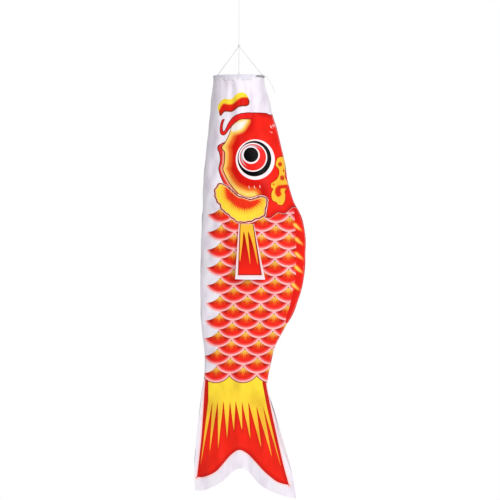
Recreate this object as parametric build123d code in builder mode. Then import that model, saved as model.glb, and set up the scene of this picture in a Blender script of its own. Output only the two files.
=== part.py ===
"""Carp streamer: a printed cloth fish that hangs head up from a cord by a hoop in its mouth.

Frame, in millimetres: the origin is the point where the hanging loop bears on its hook.
+Z is up, +X points to the fish's back, -Y is the fish's left side.
"""

from build123d import *
import os
from math import cos, pi, radians, sin, tan

os.makedirs("parts", exist_ok=True)

# ---- driving dimensions -----------------------------------------------------

FISH_LENGTH = 700.0        # mouth rim to the lowest corner of the tail
FISH_WIDTH = 173.0         # deepest place of the side view, belly to back
HOOP_DIAMETER = 82.0       # centre line of the ring that holds the mouth open
HOOP_WIRE = 2.4            # thickness of that ring
CLOTH = 0.6                # thickness of one layer of cloth, as a solid
HEM_HEIGHT = 9.0           # depth of the casing folded over the hoop
CORD_DIAMETER = 1.0        # hanging line, loop and bridle
THREAD = 0.5               # thickness of a line of stitching

RIM_DROP = 158.0           # hang point down to the mouth rim
KNOT_DROP = 109.0          # hang point down to the knot that gathers the bridle
LOOP_KNOT_DROP = 23.0      # hang point down to the middle of the loop's knot
LOOP_HALF_WIDTH = 3.5      # half the width of the loop round its hook
LOOP_KNOT_LENGTH = 6.0
LOOP_KNOT_RADIUS = 1.7
GATHER_KNOT_RADIUS = 2.2
BRIDLE_KNOT_RADIUS = 1.5
BRIDLE_ANGLES = {"front_bridle_leg": -90.0, "back_bridle_leg": 20.0, "belly_bridle_leg": 150.0}

FERRULE_WALL = 0.5         # wall of the sleeve that joins the hoop's ends
FERRULE_ANGLES = (-46.0, 4.0)
HEM_OPENING = (-50.0, 8.0)  # where the casing is left open over the sleeve
HOOP_JOINT = 1.4           # degrees between the hoop's two ends, inside the sleeve

WAIST_DROP = 371.0         # mouth rim down to the bend line of the body
HIND_LENGTH = 99.0         # from there down to the bend line of the tail root
STEM_LENGTH = 58.0         # from there down to where the two tail panels part
WAIST_FLEX = 10.0          # half the height of the cloth that bends at the waist
ROOT_FLEX = 7.0            # the same at the tail root

FIN_TOP_DROP = 245.0       # mouth rim down to the sewn edge of a chest fin
FIN_TOP_EDGE = (-0.2, 24.5)
FIN_BOTTOM_EDGE = (-6.2, 43.0)
FIN_LENGTH = 93.0
FIN_STITCH_LENGTH = 21.0
FIN_STITCH_RISE = 1.2      # stitches above the fin's top edge, clear of the fin when it lifts

# ---- clearances --------------------------------------------------------------

CASING_GAP = 0.1           # hoop inside its casing and inside its sleeve
SEAM_GAP = 0.1             # stitching outside the cloth it holds
HANG_GAP = 0.3             # a loose piece beside its neighbour
KNOT_GAP = 0.5             # moving cord end beside a knot
TAIL_GAP = 0.8             # between the two tail panels along their edges

# Side view of the tube. Each row gives how far down it lies and where the belly and the
# back are, then half the tube's thickness: the first in per cent of the fish's length,
# the rest in per cent of its width. The mouth itself takes its size from the hoop.
TUBE_ROWS = (
    (5.7, -26.6, 28.9, 24.3),
    (12.9, -28.9, 36.4, 24.0),
    (20.4, -32.4, 43.9, 23.1),
    (28.0, -34.4, 49.1, 21.7),
    (33.6, -35.3, 58.6, 20.3),
    (39.3, -36.4, 63.6, 19.1),
    (46.9, -36.6, 62.4, 16.8),
    (54.4, -36.1, 54.3, 14.5),
    (60.1, -35.3, 42.2, 12.1),
    (65.7, -32.9, 32.7, 9.8),
    (71.4, -33.5, 27.7, 7.2),
    (75.4, -36.0, 29.0, 5.2),
    (82.7, -39.3, 38.2, 4.3),
    (90.3, -42.2, 46.8, 3.5),
    (100.6, -42.4, 55.4, 2.7),
)
RIGHT_TAIL_BULGE = 7.0     # how much further out the right tail panel's back edge stands
TAIL_CORNERS = {"belly": (-72.0, 14.0), "back": (94.0, 0.0)}   # place, and height over the tip
TAIL_NOTCH = (4.6, 48.0)
TAIL_BELLY_LOBE = (-50.0, 13.0)
BELLY_LOBE_RISE = (-22.0, 34.0)
BACK_LOBE_RISE = (48.0, 20.0)

REACH = 400.0              # size of a block that is larger than the fish is wide

# ---- derived places ------------------------------------------------------------

RIM_Z = -RIM_DROP
HOOP_RADIUS = HOOP_DIAMETER / 2
WIRE_RADIUS = HOOP_WIRE / 2
CORD_RADIUS = CORD_DIAMETER / 2
CASING_RADIUS = WIRE_RADIUS + CASING_GAP + CLOTH
HOOP_Z = RIM_Z - CASING_RADIUS
SLEEVE_RADIUS = WIRE_RADIUS + CASING_GAP / 2 + FERRULE_WALL
PANEL_TOP = HOOP_Z - SLEEVE_RADIUS - HANG_GAP
HEM_BOTTOM = RIM_Z - HEM_HEIGHT
WAIST_Z = RIM_Z - WAIST_DROP
ROOT_Z = WAIST_Z - HIND_LENGTH
SPLIT_Z = ROOT_Z - STEM_LENGTH
TIP_Z = RIM_Z - FISH_LENGTH
PIVOT_Z = -(LOOP_KNOT_DROP + LOOP_KNOT_LENGTH / 2) - KNOT_GAP - CORD_RADIUS
FIN_TOP_Z = RIM_Z - FIN_TOP_DROP
MOUTH_RADIUS = HOOP_RADIUS + CLOTH / 2
ROUND_MARGIN = 0.05        # keeps the mouth's section a hair wider than it is thick


def finish(part, name):
    """Label a finished piece and write it."""
    part.part.label = name
    export_step(part.part, "parts/" + name + ".step")


def tube_rows(bulge=0.0):
    """Height, middle, half width and half thickness of each cross-section, mouth first."""
    mouth = (0.0, MOUTH_RADIUS + ROUND_MARGIN, MOUTH_RADIUS)
    rows = [(PANEL_TOP, *mouth), (HEM_BOTTOM - HANG_GAP, *mouth)]
    for down, belly, back, half_thick in TUBE_ROWS:
        z = RIM_Z - FISH_LENGTH * down / 100
        below_split = max(0.0, (SPLIT_Z - z) / (SPLIT_Z - TIP_Z))
        back_edge = FISH_WIDTH * back / 100 + bulge * sin(pi * min(1.0, below_split))
        belly_edge = FISH_WIDTH * belly / 100
        middle = (belly_edge + back_edge) / 2
        rows.append((z, middle, back_edge - middle, FISH_WIDTH * half_thick / 100))
    return rows


def row_at(z, rows):
    """The cross-section at any height, between its two nearest rows."""
    for upper, lower in zip(rows, rows[1:]):
        if upper[0] >= z >= lower[0]:
            share = (upper[0] - z) / (upper[0] - lower[0])
            return tuple(high + share * (low - high) for high, low in zip(upper, lower))
    return rows[-1]


def rows_between(top, bottom, bulge=0.0):
    """Cross-sections from one height down to another, with one exactly at each end."""
    rows = tube_rows(bulge)
    inside = [row for row in rows if top > row[0] > bottom]
    return [row_at(top, rows)] + inside + [row_at(bottom, rows)]


def half_tube(side, top, bottom, edge_gap=0.0, bulge=0.0):
    """Cloth wall of one side of the tube; side is -1 for the left and +1 for the right."""
    with BuildPart() as wall:
        for z, middle, half_width, half_thick in rows_between(top, bottom, bulge):
            with BuildSketch(Plane.XY.offset(z)):
                with Locations((middle, 0)):
                    Ellipse(half_width, half_thick)
                    Ellipse(half_width - CLOTH, half_thick - CLOTH, mode=Mode.SUBTRACT)
                with Locations((middle, side * (edge_gap + REACH / 2))):
                    Rectangle(REACH, REACH, mode=Mode.INTERSECT)
        loft(ruled=True)
    return wall.part


# ---- side panels of the tube -----------------------------------------------------


def side_panel(name, side, top, bottom):
    """One side's cloth between two heights."""
    with BuildPart() as panel:
        add(half_tube(side, top, bottom))
    finish(panel, name)


SECTIONS = {
    "fore_panel": (PANEL_TOP, WAIST_Z + WAIST_FLEX),
    "waist_cloth": (WAIST_Z + WAIST_FLEX, WAIST_Z - WAIST_FLEX),
    "hind_panel": (WAIST_Z - WAIST_FLEX, ROOT_Z + ROOT_FLEX),
    "root_cloth": (ROOT_Z + ROOT_FLEX, ROOT_Z - ROOT_FLEX),
    "stem_panel": (ROOT_Z - ROOT_FLEX, SPLIT_Z),
}
for section, (section_top, section_bottom) in SECTIONS.items():
    side_panel("left_" + section, -1, section_top, section_bottom)
    side_panel("right_" + section, 1, section_top, section_bottom)

# ---- stitching along the belly and the back ----------------------------------------


def seam(name, direction, top, bottom):
    """Stitching at the tube's edge; direction is -1 for the belly and +1 for the back."""
    with BuildPart() as line:
        for z, middle, half_width, _ in rows_between(top, bottom):
            with BuildSketch(Plane.XY.offset(z)):
                with Locations((middle + direction * (half_width + SEAM_GAP + THREAD / 2), 0)):
                    Rectangle(THREAD, THREAD)
        loft(ruled=True)
    finish(line, name)


SEAM_RUNS = {
    "fore": (HEM_BOTTOM - HANG_GAP, WAIST_Z + WAIST_FLEX),
    "hind": (WAIST_Z - WAIST_FLEX, ROOT_Z + ROOT_FLEX),
    "stem": (ROOT_Z - ROOT_FLEX, SPLIT_Z),
}
for run_name, (run_top, run_bottom) in SEAM_RUNS.items():
    seam(run_name + "_belly_seam", -1, run_top, run_bottom)
    seam(run_name + "_back_seam", 1, run_top, run_bottom)

# ---- tail panels -----------------------------------------------------------------------


def tail_point(place):
    """Point of the tail's lower edge, from its place and its height over the tip."""
    return (place[0] * FISH_WIDTH / 173.0, TIP_Z + place[1])


def tail_panel(name, side, bulge):
    """One free tail panel, with its two lobes and the notch between them."""
    with BuildPart() as panel:
        add(half_tube(side, SPLIT_Z - HANG_GAP, tube_rows()[-1][0], TAIL_GAP / 2, bulge))
        belly_corner = tail_point(TAIL_CORNERS["belly"])
        back_corner = tail_point(TAIL_CORNERS["back"])
        notch = tail_point(TAIL_NOTCH)
        with BuildSketch(Plane.XZ):
            with BuildLine():
                Line((-REACH, belly_corner[1]), tail_point(TAIL_BELLY_LOBE))
                Spline(tail_point(TAIL_BELLY_LOBE), tail_point(BELLY_LOBE_RISE), notch)
                Spline(notch, tail_point(BACK_LOBE_RISE), back_corner)
                Polyline(back_corner, (REACH, back_corner[1]), (REACH, 0), (-REACH, 0),
                         (-REACH, belly_corner[1]))
            make_face()
        extrude(amount=REACH, both=True, mode=Mode.INTERSECT)
    finish(panel, name)


tail_panel("left_tail_panel", -1, 0.0)
tail_panel("right_tail_panel", 1, RIGHT_TAIL_BULGE)

# ---- chest fins ----------------------------------------------------------------------------

FIN_INNER = row_at(FIN_TOP_Z, tube_rows())[3] + HANG_GAP


def chest_fin(name, side):
    """A loose cloth fin that hangs from its sewn top edge, outside the body."""
    near = FIN_INNER if side < 0 else -(FIN_INNER + CLOTH)
    with BuildPart() as fin:
        with BuildSketch(Plane.XZ.offset(near)):
            with BuildLine():
                Polyline((FIN_TOP_EDGE[0], FIN_TOP_Z), (FIN_TOP_EDGE[1], FIN_TOP_Z),
                         (FIN_BOTTOM_EDGE[1], FIN_TOP_Z - FIN_LENGTH),
                         (FIN_BOTTOM_EDGE[0], FIN_TOP_Z - FIN_LENGTH), close=True)
            make_face()
        extrude(amount=CLOTH)
    finish(fin, name)


def fin_seam(name, side):
    """The row of stitches that holds a fin's top edge to the body."""
    middle = sum(FIN_TOP_EDGE) / 2
    with BuildPart() as row:
        with Locations((middle, side * (FIN_INNER + CLOTH / 2), FIN_TOP_Z + FIN_STITCH_RISE)):
            Box(FIN_STITCH_LENGTH, THREAD, THREAD)
    finish(row, name)


for fin_side, side_name in ((-1, "left"), (1, "right")):
    chest_fin(side_name + "_fin", fin_side)
    fin_seam(side_name + "_fin_seam", fin_side)

# ---- hoop, its sleeve and the casing round it --------------------------------------------------


def turned(angles):
    """Vertical plane through the tube's axis, at the first of two angles."""
    turn = radians(angles[0])
    return Plane(origin=(0, 0, 0), x_dir=(cos(turn), sin(turn), 0),
                 z_dir=(sin(turn), -cos(turn), 0))


hoop_start = sum(FERRULE_ANGLES) / 2 + HOOP_JOINT / 2
with BuildPart() as mouth_hoop:
    with BuildSketch(turned((hoop_start, hoop_start))):
        with Locations((HOOP_RADIUS, HOOP_Z)):
            Circle(WIRE_RADIUS)
    revolve(axis=Axis.Z, revolution_arc=360.0 - HOOP_JOINT)
finish(mouth_hoop, "mouth_hoop")

with BuildPart() as hoop_ferrule:
    with BuildSketch(turned(FERRULE_ANGLES)):
        with Locations((HOOP_RADIUS, HOOP_Z)):
            Circle(SLEEVE_RADIUS)
            Circle(SLEEVE_RADIUS - FERRULE_WALL, mode=Mode.SUBTRACT)
    revolve(axis=Axis.Z, revolution_arc=FERRULE_ANGLES[1] - FERRULE_ANGLES[0])
finish(hoop_ferrule, "hoop_ferrule")

hem_arc = 360.0 - (HEM_OPENING[1] - HEM_OPENING[0])
hem_start = (HEM_OPENING[1], HEM_OPENING[1] + hem_arc)
with BuildPart() as mouth_hem:
    with BuildSketch(turned(hem_start)):
        with Locations((HOOP_RADIUS, HOOP_Z)):
            Circle(CASING_RADIUS)
        with Locations((HOOP_RADIUS, (HOOP_Z + HEM_BOTTOM) / 2)):
            Rectangle(2 * CASING_RADIUS, HOOP_Z - HEM_BOTTOM)
        with Locations((HOOP_RADIUS, HOOP_Z)):
            Circle(CASING_RADIUS - CLOTH, mode=Mode.SUBTRACT)
        with Locations((HOOP_RADIUS, (HOOP_Z + HEM_BOTTOM) / 2)):
            Rectangle(2 * (CASING_RADIUS - CLOTH), HOOP_Z - HEM_BOTTOM, mode=Mode.SUBTRACT)
    revolve(axis=Axis.Z, revolution_arc=hem_arc)
finish(mouth_hem, "mouth_hem")

HEM_STITCH_UP = 1.5        # stitches above the casing's lower edge
with BuildPart() as hem_seam:
    with BuildSketch(turned(hem_start)):
        with Locations((HOOP_RADIUS + CASING_RADIUS + SEAM_GAP + THREAD / 2,
                        HEM_BOTTOM + HEM_STITCH_UP)):
            Rectangle(THREAD, THREAD)
    revolve(axis=Axis.Z, revolution_arc=hem_arc)
finish(hem_seam, "hem_seam")

# ---- hanging loop, line, bridle and knots ------------------------------------------------------------


def corner_radii(points):
    """As large an arc at each corner of a route as its two runs allow."""
    vectors = [Vector(*point) for point in points]
    radii = []
    for before, corner, after in zip(vectors, vectors[1:], vectors[2:]):
        turn = radians((corner - before).get_angle(after - corner))
        shorter = min((corner - before).length, (after - corner).length)
        radii.append(0.45 * shorter / tan(turn / 2))
    return radii


def routed_cord(name, points):
    """A cord of straight runs joined by tangent arcs."""
    radii = corner_radii(points)
    print(name, "bend radii", [round(radius, 1) for radius in radii])
    with BuildPart() as cord:
        with BuildLine() as route:
            FilletPolyline(*points, radius=radii)
        with BuildSketch(Plane(origin=route.line @ 0, z_dir=route.line % 0)):
            Circle(CORD_RADIUS)
        sweep(path=route.line)
    length = sum(edge.length for edge in route.edges())
    expected = pi * CORD_RADIUS ** 2 * length
    print(name, "length", round(length, 1),
          "volume over expected", round(cord.part.volume / expected, 3))
    finish(cord, name)


def knot(name, places, radius, half_height):
    """Round knots of one size, drawn tight: a short barrel with rounded ends."""
    with BuildPart() as group:
        with Locations(*places):
            Cylinder(radius, 2 * half_height)
        fillet(group.edges().filter_by(GeomType.CIRCLE), radius * 0.8)
    finish(group, name)


LOOP_LOW = -(LOOP_KNOT_DROP - LOOP_KNOT_LENGTH / 2)
LOOP_KNEE = -9.5
LOOP_FOOT = 0.7
routed_cord("hanging_loop", [
    (-LOOP_FOOT, 0, LOOP_LOW), (-LOOP_HALF_WIDTH, 0, LOOP_KNEE),
    (-LOOP_HALF_WIDTH, 0, CORD_RADIUS), (LOOP_HALF_WIDTH, 0, CORD_RADIUS),
    (LOOP_HALF_WIDTH, 0, LOOP_KNEE), (LOOP_FOOT, 0, LOOP_LOW),
])
knot("loop_knot", [(0, 0, -LOOP_KNOT_DROP)], LOOP_KNOT_RADIUS, LOOP_KNOT_LENGTH / 2)
knot("gather_knot", [(0, 0, -KNOT_DROP)], GATHER_KNOT_RADIUS, GATHER_KNOT_RADIUS)

line_foot = -KNOT_DROP + GATHER_KNOT_RADIUS + HANG_GAP
with BuildPart() as hang_line:
    with Locations((0, 0, (PIVOT_Z + line_foot) / 2)):
        Cylinder(CORD_RADIUS, PIVOT_Z - line_foot)
    with Locations((0, 0, PIVOT_Z)):
        Sphere(CORD_RADIUS)
finish(hang_line, "hang_line")

gather = Vector(0, 0, -KNOT_DROP)
knot_height = RIM_Z + SEAM_GAP + BRIDLE_KNOT_RADIUS
knot_places = []
for leg_name, leg_angle in BRIDLE_ANGLES.items():
    turn = radians(leg_angle)
    foot = Vector(HOOP_RADIUS * cos(turn), HOOP_RADIUS * sin(turn), knot_height)
    knot_places.append((foot.X, foot.Y, foot.Z))
    way = (foot - gather).normalized()
    leg_start = gather + way * (GATHER_KNOT_RADIUS * 1.25 + KNOT_GAP)
    leg_length = (foot - leg_start).length - BRIDLE_KNOT_RADIUS
    with BuildPart() as leg:
        with BuildSketch(Plane(origin=leg_start, z_dir=way)):
            Circle(CORD_RADIUS)
        extrude(amount=leg_length)
    finish(leg, leg_name)
    print(leg_name, "length", round(leg_length, 1))
knot("bridle_knots", knot_places, BRIDLE_KNOT_RADIUS, BRIDLE_KNOT_RADIUS)

tag_x, tag_y, tag_z = knot_places[1]
routed_cord("knot_tail", [
    (tag_x + BRIDLE_KNOT_RADIUS, tag_y, tag_z), (tag_x + 8.3, tag_y - 1.2, tag_z - 3.2),
    (tag_x + 12.4, tag_y - 2.6, tag_z - 10.4), (tag_x + 17.0, tag_y - 3.6, tag_z - 19.2),
    (tag_x + 20.8, tag_y - 4.6, tag_z - 28.2),
])
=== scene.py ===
# %% [markdown]
# # A carp streamer
# A cloth fish hangs head up from a thin cord. A hoop in its mouth keeps it round there, and it
# flattens towards the tail. We build its looks round a finished frame: the frame says where each
# piece sits and how it moves, and this lesson makes the cloth, the print, the cords and the thread.

# %% Load the frame
import math

import bmesh
import bpy
import numpy as np
from mathutils import Matrix, Vector


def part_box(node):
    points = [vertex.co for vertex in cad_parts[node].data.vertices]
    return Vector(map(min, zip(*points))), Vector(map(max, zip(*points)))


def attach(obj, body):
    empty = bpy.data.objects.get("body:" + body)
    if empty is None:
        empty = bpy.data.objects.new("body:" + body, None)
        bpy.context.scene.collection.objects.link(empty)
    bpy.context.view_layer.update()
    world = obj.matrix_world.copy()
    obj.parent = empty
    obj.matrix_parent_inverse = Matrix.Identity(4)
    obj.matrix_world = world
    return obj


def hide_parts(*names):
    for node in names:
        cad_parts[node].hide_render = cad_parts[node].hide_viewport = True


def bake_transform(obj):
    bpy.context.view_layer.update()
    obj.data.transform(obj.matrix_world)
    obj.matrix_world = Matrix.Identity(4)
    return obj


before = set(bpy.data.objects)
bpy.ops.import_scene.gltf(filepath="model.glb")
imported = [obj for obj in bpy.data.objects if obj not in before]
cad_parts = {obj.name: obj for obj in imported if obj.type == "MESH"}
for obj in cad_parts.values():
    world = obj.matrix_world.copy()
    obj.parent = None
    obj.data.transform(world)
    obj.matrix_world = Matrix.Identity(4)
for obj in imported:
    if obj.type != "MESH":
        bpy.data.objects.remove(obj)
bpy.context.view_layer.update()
bpy.context.scene.view_settings.view_transform = "Standard"

# %% [markdown]
# All our drawing is done in the fish's own terms: millimetres from the hanging line towards the
# back, and millimetres down from the mouth's rim. One function turns such a place into the
# frame's metres. The rim and the fins are read from the frame.

# %% Places
MM = 0.001
rim_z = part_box("mouth_hem")[1][2]
LEFT, RIGHT = -1, 1
SIDES = {"left": LEFT, "right": RIGHT}


def down(z):
    """Millimetres below the rim of a height in metres."""
    return (rim_z - z) / MM


def at(across, below, depth=0.0):
    """Frame position of a place across and below the rim, both in millimetres."""
    return Vector((across * MM, depth * MM, rim_z - below * MM))


# %% [markdown]
# The camera stands far off with a long lens, level with the middle of the fish. A long lens keeps
# the upright lines upright and shows the flat print without distortion.

# %% Camera
CAMERA_DISTANCE = 5.5
VIEW_WIDTH = 0.8265
VIEW_CENTRE = at(18.2, 288.3)
camera_data = bpy.data.cameras.new("camera")
camera_data.sensor_width = 36.0
camera_data.lens = camera_data.sensor_width * CAMERA_DISTANCE / VIEW_WIDTH
camera_data.clip_end = 60.0
camera = bpy.data.objects.new("camera", camera_data)
camera.location = VIEW_CENTRE + Vector((0, -CAMERA_DISTANCE, 0))
camera.rotation_euler = (math.radians(90), 0, 0)
bpy.context.scene.collection.objects.link(camera)
bpy.context.scene.camera = camera
print("lens", round(camera_data.lens, 1), "mm")

# %% [markdown]
# Satin needs light that wraps round it, so it comes from a white sky and from large soft lamps:
# two in front, a weak one low on the belly's side, and one behind. The sky is only half as strong
# as a light as it is as a backdrop, and weaker still in reflections, which keeps black inks black.
# The Light Path node tells the three uses apart.

# %% Light and floor
SKY_BACKDROP = 1.0
SKY_LIGHT = 0.46
SKY_MIRRORED = 0.12
world = bpy.data.worlds.new("sky")
bpy.context.scene.world = world
world.use_nodes = True
sky = world.node_tree.nodes["Background"]
sky.inputs["Color"].default_value = (1, 1, 1, 1)
light_path = world.node_tree.nodes.new("ShaderNodeLightPath")
as_mirror = world.node_tree.nodes.new("ShaderNodeMapRange")
as_mirror.inputs["To Min"].default_value = SKY_LIGHT
as_mirror.inputs["To Max"].default_value = SKY_MIRRORED
as_backdrop = world.node_tree.nodes.new("ShaderNodeMapRange")
as_backdrop.inputs["To Max"].default_value = SKY_BACKDROP
world.node_tree.links.new(light_path.outputs["Is Glossy Ray"], as_mirror.inputs["Value"])
world.node_tree.links.new(light_path.outputs["Is Camera Ray"], as_backdrop.inputs["Value"])
world.node_tree.links.new(as_mirror.outputs["Result"], as_backdrop.inputs["To Min"])
world.node_tree.links.new(as_backdrop.outputs["Result"], sky.inputs["Strength"])


def soft_lamp(name, place, power, size):
    """A large square lamp that faces the middle of the fish."""
    data = bpy.data.lights.new(name, "AREA")
    data.energy = power
    data.size = size
    lamp = bpy.data.objects.new(name, data)
    lamp.location = place
    lamp.rotation_euler = (VIEW_CENTRE - Vector(place)).to_track_quat("-Z", "Y").to_euler()
    bpy.context.scene.collection.objects.link(lamp)


soft_lamp("front_lamp", (1.4, -2.0, 0.3), 29, 0.9)
soft_lamp("high_lamp", (0.0, -2.2, 1.7), 18, 0.8)
soft_lamp("side_lamp", (-2.2, -1.2, -1.0), 6, 0.9)
soft_lamp("rear_lamp", (0.4, 2.2, 0.8), 16, 1.6)

FLOOR_Z = rim_z - 1.15
bpy.ops.mesh.primitive_circle_add(vertices=96, radius=3.2, fill_type="NGON", location=(0, 0, FLOOR_Z))
floor = bpy.context.object
floor.name = "floor"
floor_finish = bpy.data.materials.new("pale_floor")
floor_finish.use_nodes = True
floor_shader = floor_finish.node_tree.nodes["Principled BSDF"]
floor_shader.inputs["Base Color"].default_value = (0.97, 0.97, 0.97, 1)
floor_shader.inputs["Roughness"].default_value = 0.9
floor.data.materials.append(floor_finish)

# %% [markdown]
# ## A short way to write shader nodes
# A shader tree is easier to read when a node takes one line. This small helper adds a node to a
# tree, fills its inputs with numbers or with other sockets, and gives back its output.

# %% Node helper


class Tree:
    """Adds nodes to one node tree; the methods give back output sockets."""

    def __init__(self, tree):
        self.tree = tree

    def add(self, kind, output=0, settings=None, **inputs):
        node = self.tree.nodes.new(kind)
        for key, value in (settings or {}).items():
            setattr(node, key, value)
        for key, value in inputs.items():
            socket = node.inputs[int(key[1:])] if key[1:].isdigit() else node.inputs[key]
            self.fill(socket, value)
        return node.outputs[output]

    def fill(self, socket, value):
        if isinstance(value, bpy.types.NodeSocket):
            self.tree.links.new(value, socket)
        else:
            socket.default_value = value

    def math(self, operation, a, b=0.0, clamp=False):
        return self.add("ShaderNodeMath", settings={"operation": operation, "use_clamp": clamp}, i0=a, i1=b)

    def plus(self, a, b, clamp=False):
        return self.math("ADD", a, b, clamp)

    def minus(self, a, b):
        return self.math("SUBTRACT", a, b)

    def times(self, a, b, clamp=False):
        return self.math("MULTIPLY", a, b, clamp)

    def over(self, a, b, clamp=False):
        return self.math("DIVIDE", a, b, clamp)

    def opposite(self, share):
        """What the share leaves of 1."""
        return self.math("SUBTRACT", 1.0, share)

    def length(self, side, drop):
        """The length of a step that goes so far to the side and so far down."""
        return self.math("SQRT", self.plus(self.times(side, side), self.times(drop, drop)))

    def mix(self, share, a, b):
        node = self.tree.nodes.new("ShaderNodeMix")
        node.data_type = "RGBA"
        for socket, value in zip((node.inputs[0], node.inputs[6], node.inputs[7]), (share, a, b)):
            self.fill(socket, value)
        return node.outputs[2]

    def attribute(self, name):
        return self.add("ShaderNodeAttribute", "Fac", {"attribute_name": name})

    def group(self, name, **inputs):
        """Adds a group that was made before; gives its outputs, by name."""
        node = self.tree.nodes.new("ShaderNodeGroup")
        node.node_tree = bpy.data.node_groups[name]
        for key, value in inputs.items():
            self.fill(node.inputs[key], value)
        return node.outputs


# %% [markdown]
# Three more helpers: one opens a shader node group, one a material, and one turns an everyday colour
# into the linear colour that a shader wants.

# %% Groups, materials and colours


def new_group(name, inputs, outputs):
    """A shader node group with named sockets; gives its Tree, its input node and its output node."""
    tree = bpy.data.node_groups.new(name, "ShaderNodeTree")
    for socket, kind in inputs.items():
        tree.interface.new_socket(socket, in_out="INPUT", socket_type=kind)
    for socket, kind in outputs.items():
        tree.interface.new_socket(socket, in_out="OUTPUT", socket_type=kind)
    return Tree(tree), tree.nodes.new("NodeGroupInput"), tree.nodes.new("NodeGroupOutput")


def new_material(name):
    """A material with nodes; gives it, its Tree and its Principled shader."""
    material = bpy.data.materials.new(name)
    material.use_nodes = True
    return material, Tree(material.node_tree), material.node_tree.nodes["Principled BSDF"]


FLOAT, COLOR, VECTOR = "NodeSocketFloat", "NodeSocketColor", "NodeSocketVector"


def srgb(red, green, blue):
    """A colour given in everyday 0 to 255 values, as the linear colour that a shader wants."""
    channels = [value / 255 for value in (red, green, blue)]
    linear = [c / 12.92 if c <= 0.04045 else ((c + 0.055) / 1.055) ** 2.4 for c in channels]
    return (*linear, 1.0)


# %% [markdown]
# ## Printing on cloth
# The fish is screen printed in flat inks. We do not paint a picture. Each ink shape is an outline,
# and every point of the cloth carries its distance to that outline in millimetres, positive inside.
# The shader cuts the distance at zero, so an edge stays crisp however close we look, and a soft
# edge or an outline is the same distance cut elsewhere. The group below does that cut.

# %% Ink edge group
ink, ink_in, ink_out = new_group("ink_edge", {"Distance": FLOAT, "Inset": FLOAT, "Softness": FLOAT},
                                 {"Mask": FLOAT})
from_edge = ink.minus(ink_in.outputs["Distance"], ink_in.outputs["Inset"])
softened = ink.over(from_edge, ink_in.outputs["Softness"])
ink.fill(ink_out.inputs["Mask"], ink.plus(softened, 0.5, clamp=True))
CRISP = 0.35


def cut(tree, distance, inset=0.0, softness=CRISP):
    """A mask that is 1 where the distance is past the inset, in millimetres."""
    return tree.group("ink_edge", Distance=distance, Inset=inset, Softness=softness)["Mask"]


WHITE = srgb(238, 232, 241)
HALO = srgb(255, 214, 212)
RED = srgb(243, 38, 26)
MAROON = srgb(122, 20, 26)
BLACK = srgb(6, 5, 6)


def outlined(tree, under, distance, fill, line=0.7, halo=1.7, line_ink=MAROON):
    """Print a shape over what lies under it: a pink halo, a dark line, then its fill."""
    colour = under
    if halo:
        colour = tree.mix(cut(tree, distance, -halo, 0.8), colour, HALO)
    if line:
        colour = tree.mix(cut(tree, distance, -line / 2), colour, line_ink)
    return tree.mix(cut(tree, distance, line / 2, 0.5), colour, fill)


# %% [markdown]
# ### The scales
# A carp's scales hang like roof slates: each is a disc about its own top point, in two sets of
# columns half a step apart, and the disc that starts higher covers the one below. So the group
# finds, for each set, the nearest column and how far below that column's last top point we are.
# Of the two discs the higher one wins where it reaches.

# %% The lattice of scales
SCALE_PITCH = 45.0     # across, between columns of one set
SCALE_DROP = 29.2      # down, between scales of one column
SCALE_REACH = 26.85    # a disc just reaches the top points of the scales below it
SCALE_COLUMNS = 0      # the first printed column
SCALE_LAST_ROW = 9.2   # rows above this one are printed

scale, scale_in, scale_out = new_group("fish_scales", {"Across": FLOAT, "Down": FLOAT},
                                       {"Color": COLOR, "Mask": FLOAT, "Shade": FLOAT})


def nearest_scale(tree, shift):
    """Offsets from the top point above, its distance, and the column and row, of one set."""
    across = tree.minus(scale_in.outputs["Across"], shift * SCALE_PITCH)
    below = tree.minus(scale_in.outputs["Down"], shift * SCALE_DROP)
    column = tree.math("FLOOR", tree.plus(tree.over(across, SCALE_PITCH), 0.5))
    row = tree.math("FLOOR", tree.over(below, SCALE_DROP))
    side = tree.minus(across, tree.times(column, SCALE_PITCH))
    drop = tree.minus(below, tree.times(row, SCALE_DROP))
    reach = tree.length(side, drop)
    return {"side": side, "drop": drop, "reach": reach, "column": tree.plus(column, shift),
            "row": tree.plus(row, shift)}


even = nearest_scale(scale, 0.0)
odd = nearest_scale(scale, 0.5)


def printed(tree, one):
    """1 where the set's scale is one of the printed rows and columns."""
    column = tree.math("GREATER_THAN", one["column"], SCALE_COLUMNS - 0.25)
    first = tree.math("GREATER_THAN", one["row"], -0.75)
    last = tree.math("LESS_THAN", one["row"], SCALE_LAST_ROW)
    return tree.times(column, tree.times(first, last))


even_reaches = scale.math("LESS_THAN", even["reach"], SCALE_REACH)
odd_reaches = scale.math("LESS_THAN", odd["reach"], SCALE_REACH)
even_higher = scale.math("GREATER_THAN", even["drop"], odd["drop"])
even_blocked = scale.times(odd_reaches, scale.opposite(even_higher))
use_even = scale.times(even_reaches, scale.opposite(even_blocked))
use_odd = scale.times(odd_reaches, scale.opposite(use_even))


def chosen(tree, key):
    """One offset of whichever scale wins."""
    return tree.plus(tree.times(even[key], use_even), tree.times(odd[key], use_odd))


# %% [markdown]
# Distance and angle from the winning top point give the parts of a scale: the yellow hub with its
# fine dark rays, the red body, and the pale rim. A scale is darker just under its neighbours,
# and darkest at its top point.

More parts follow.
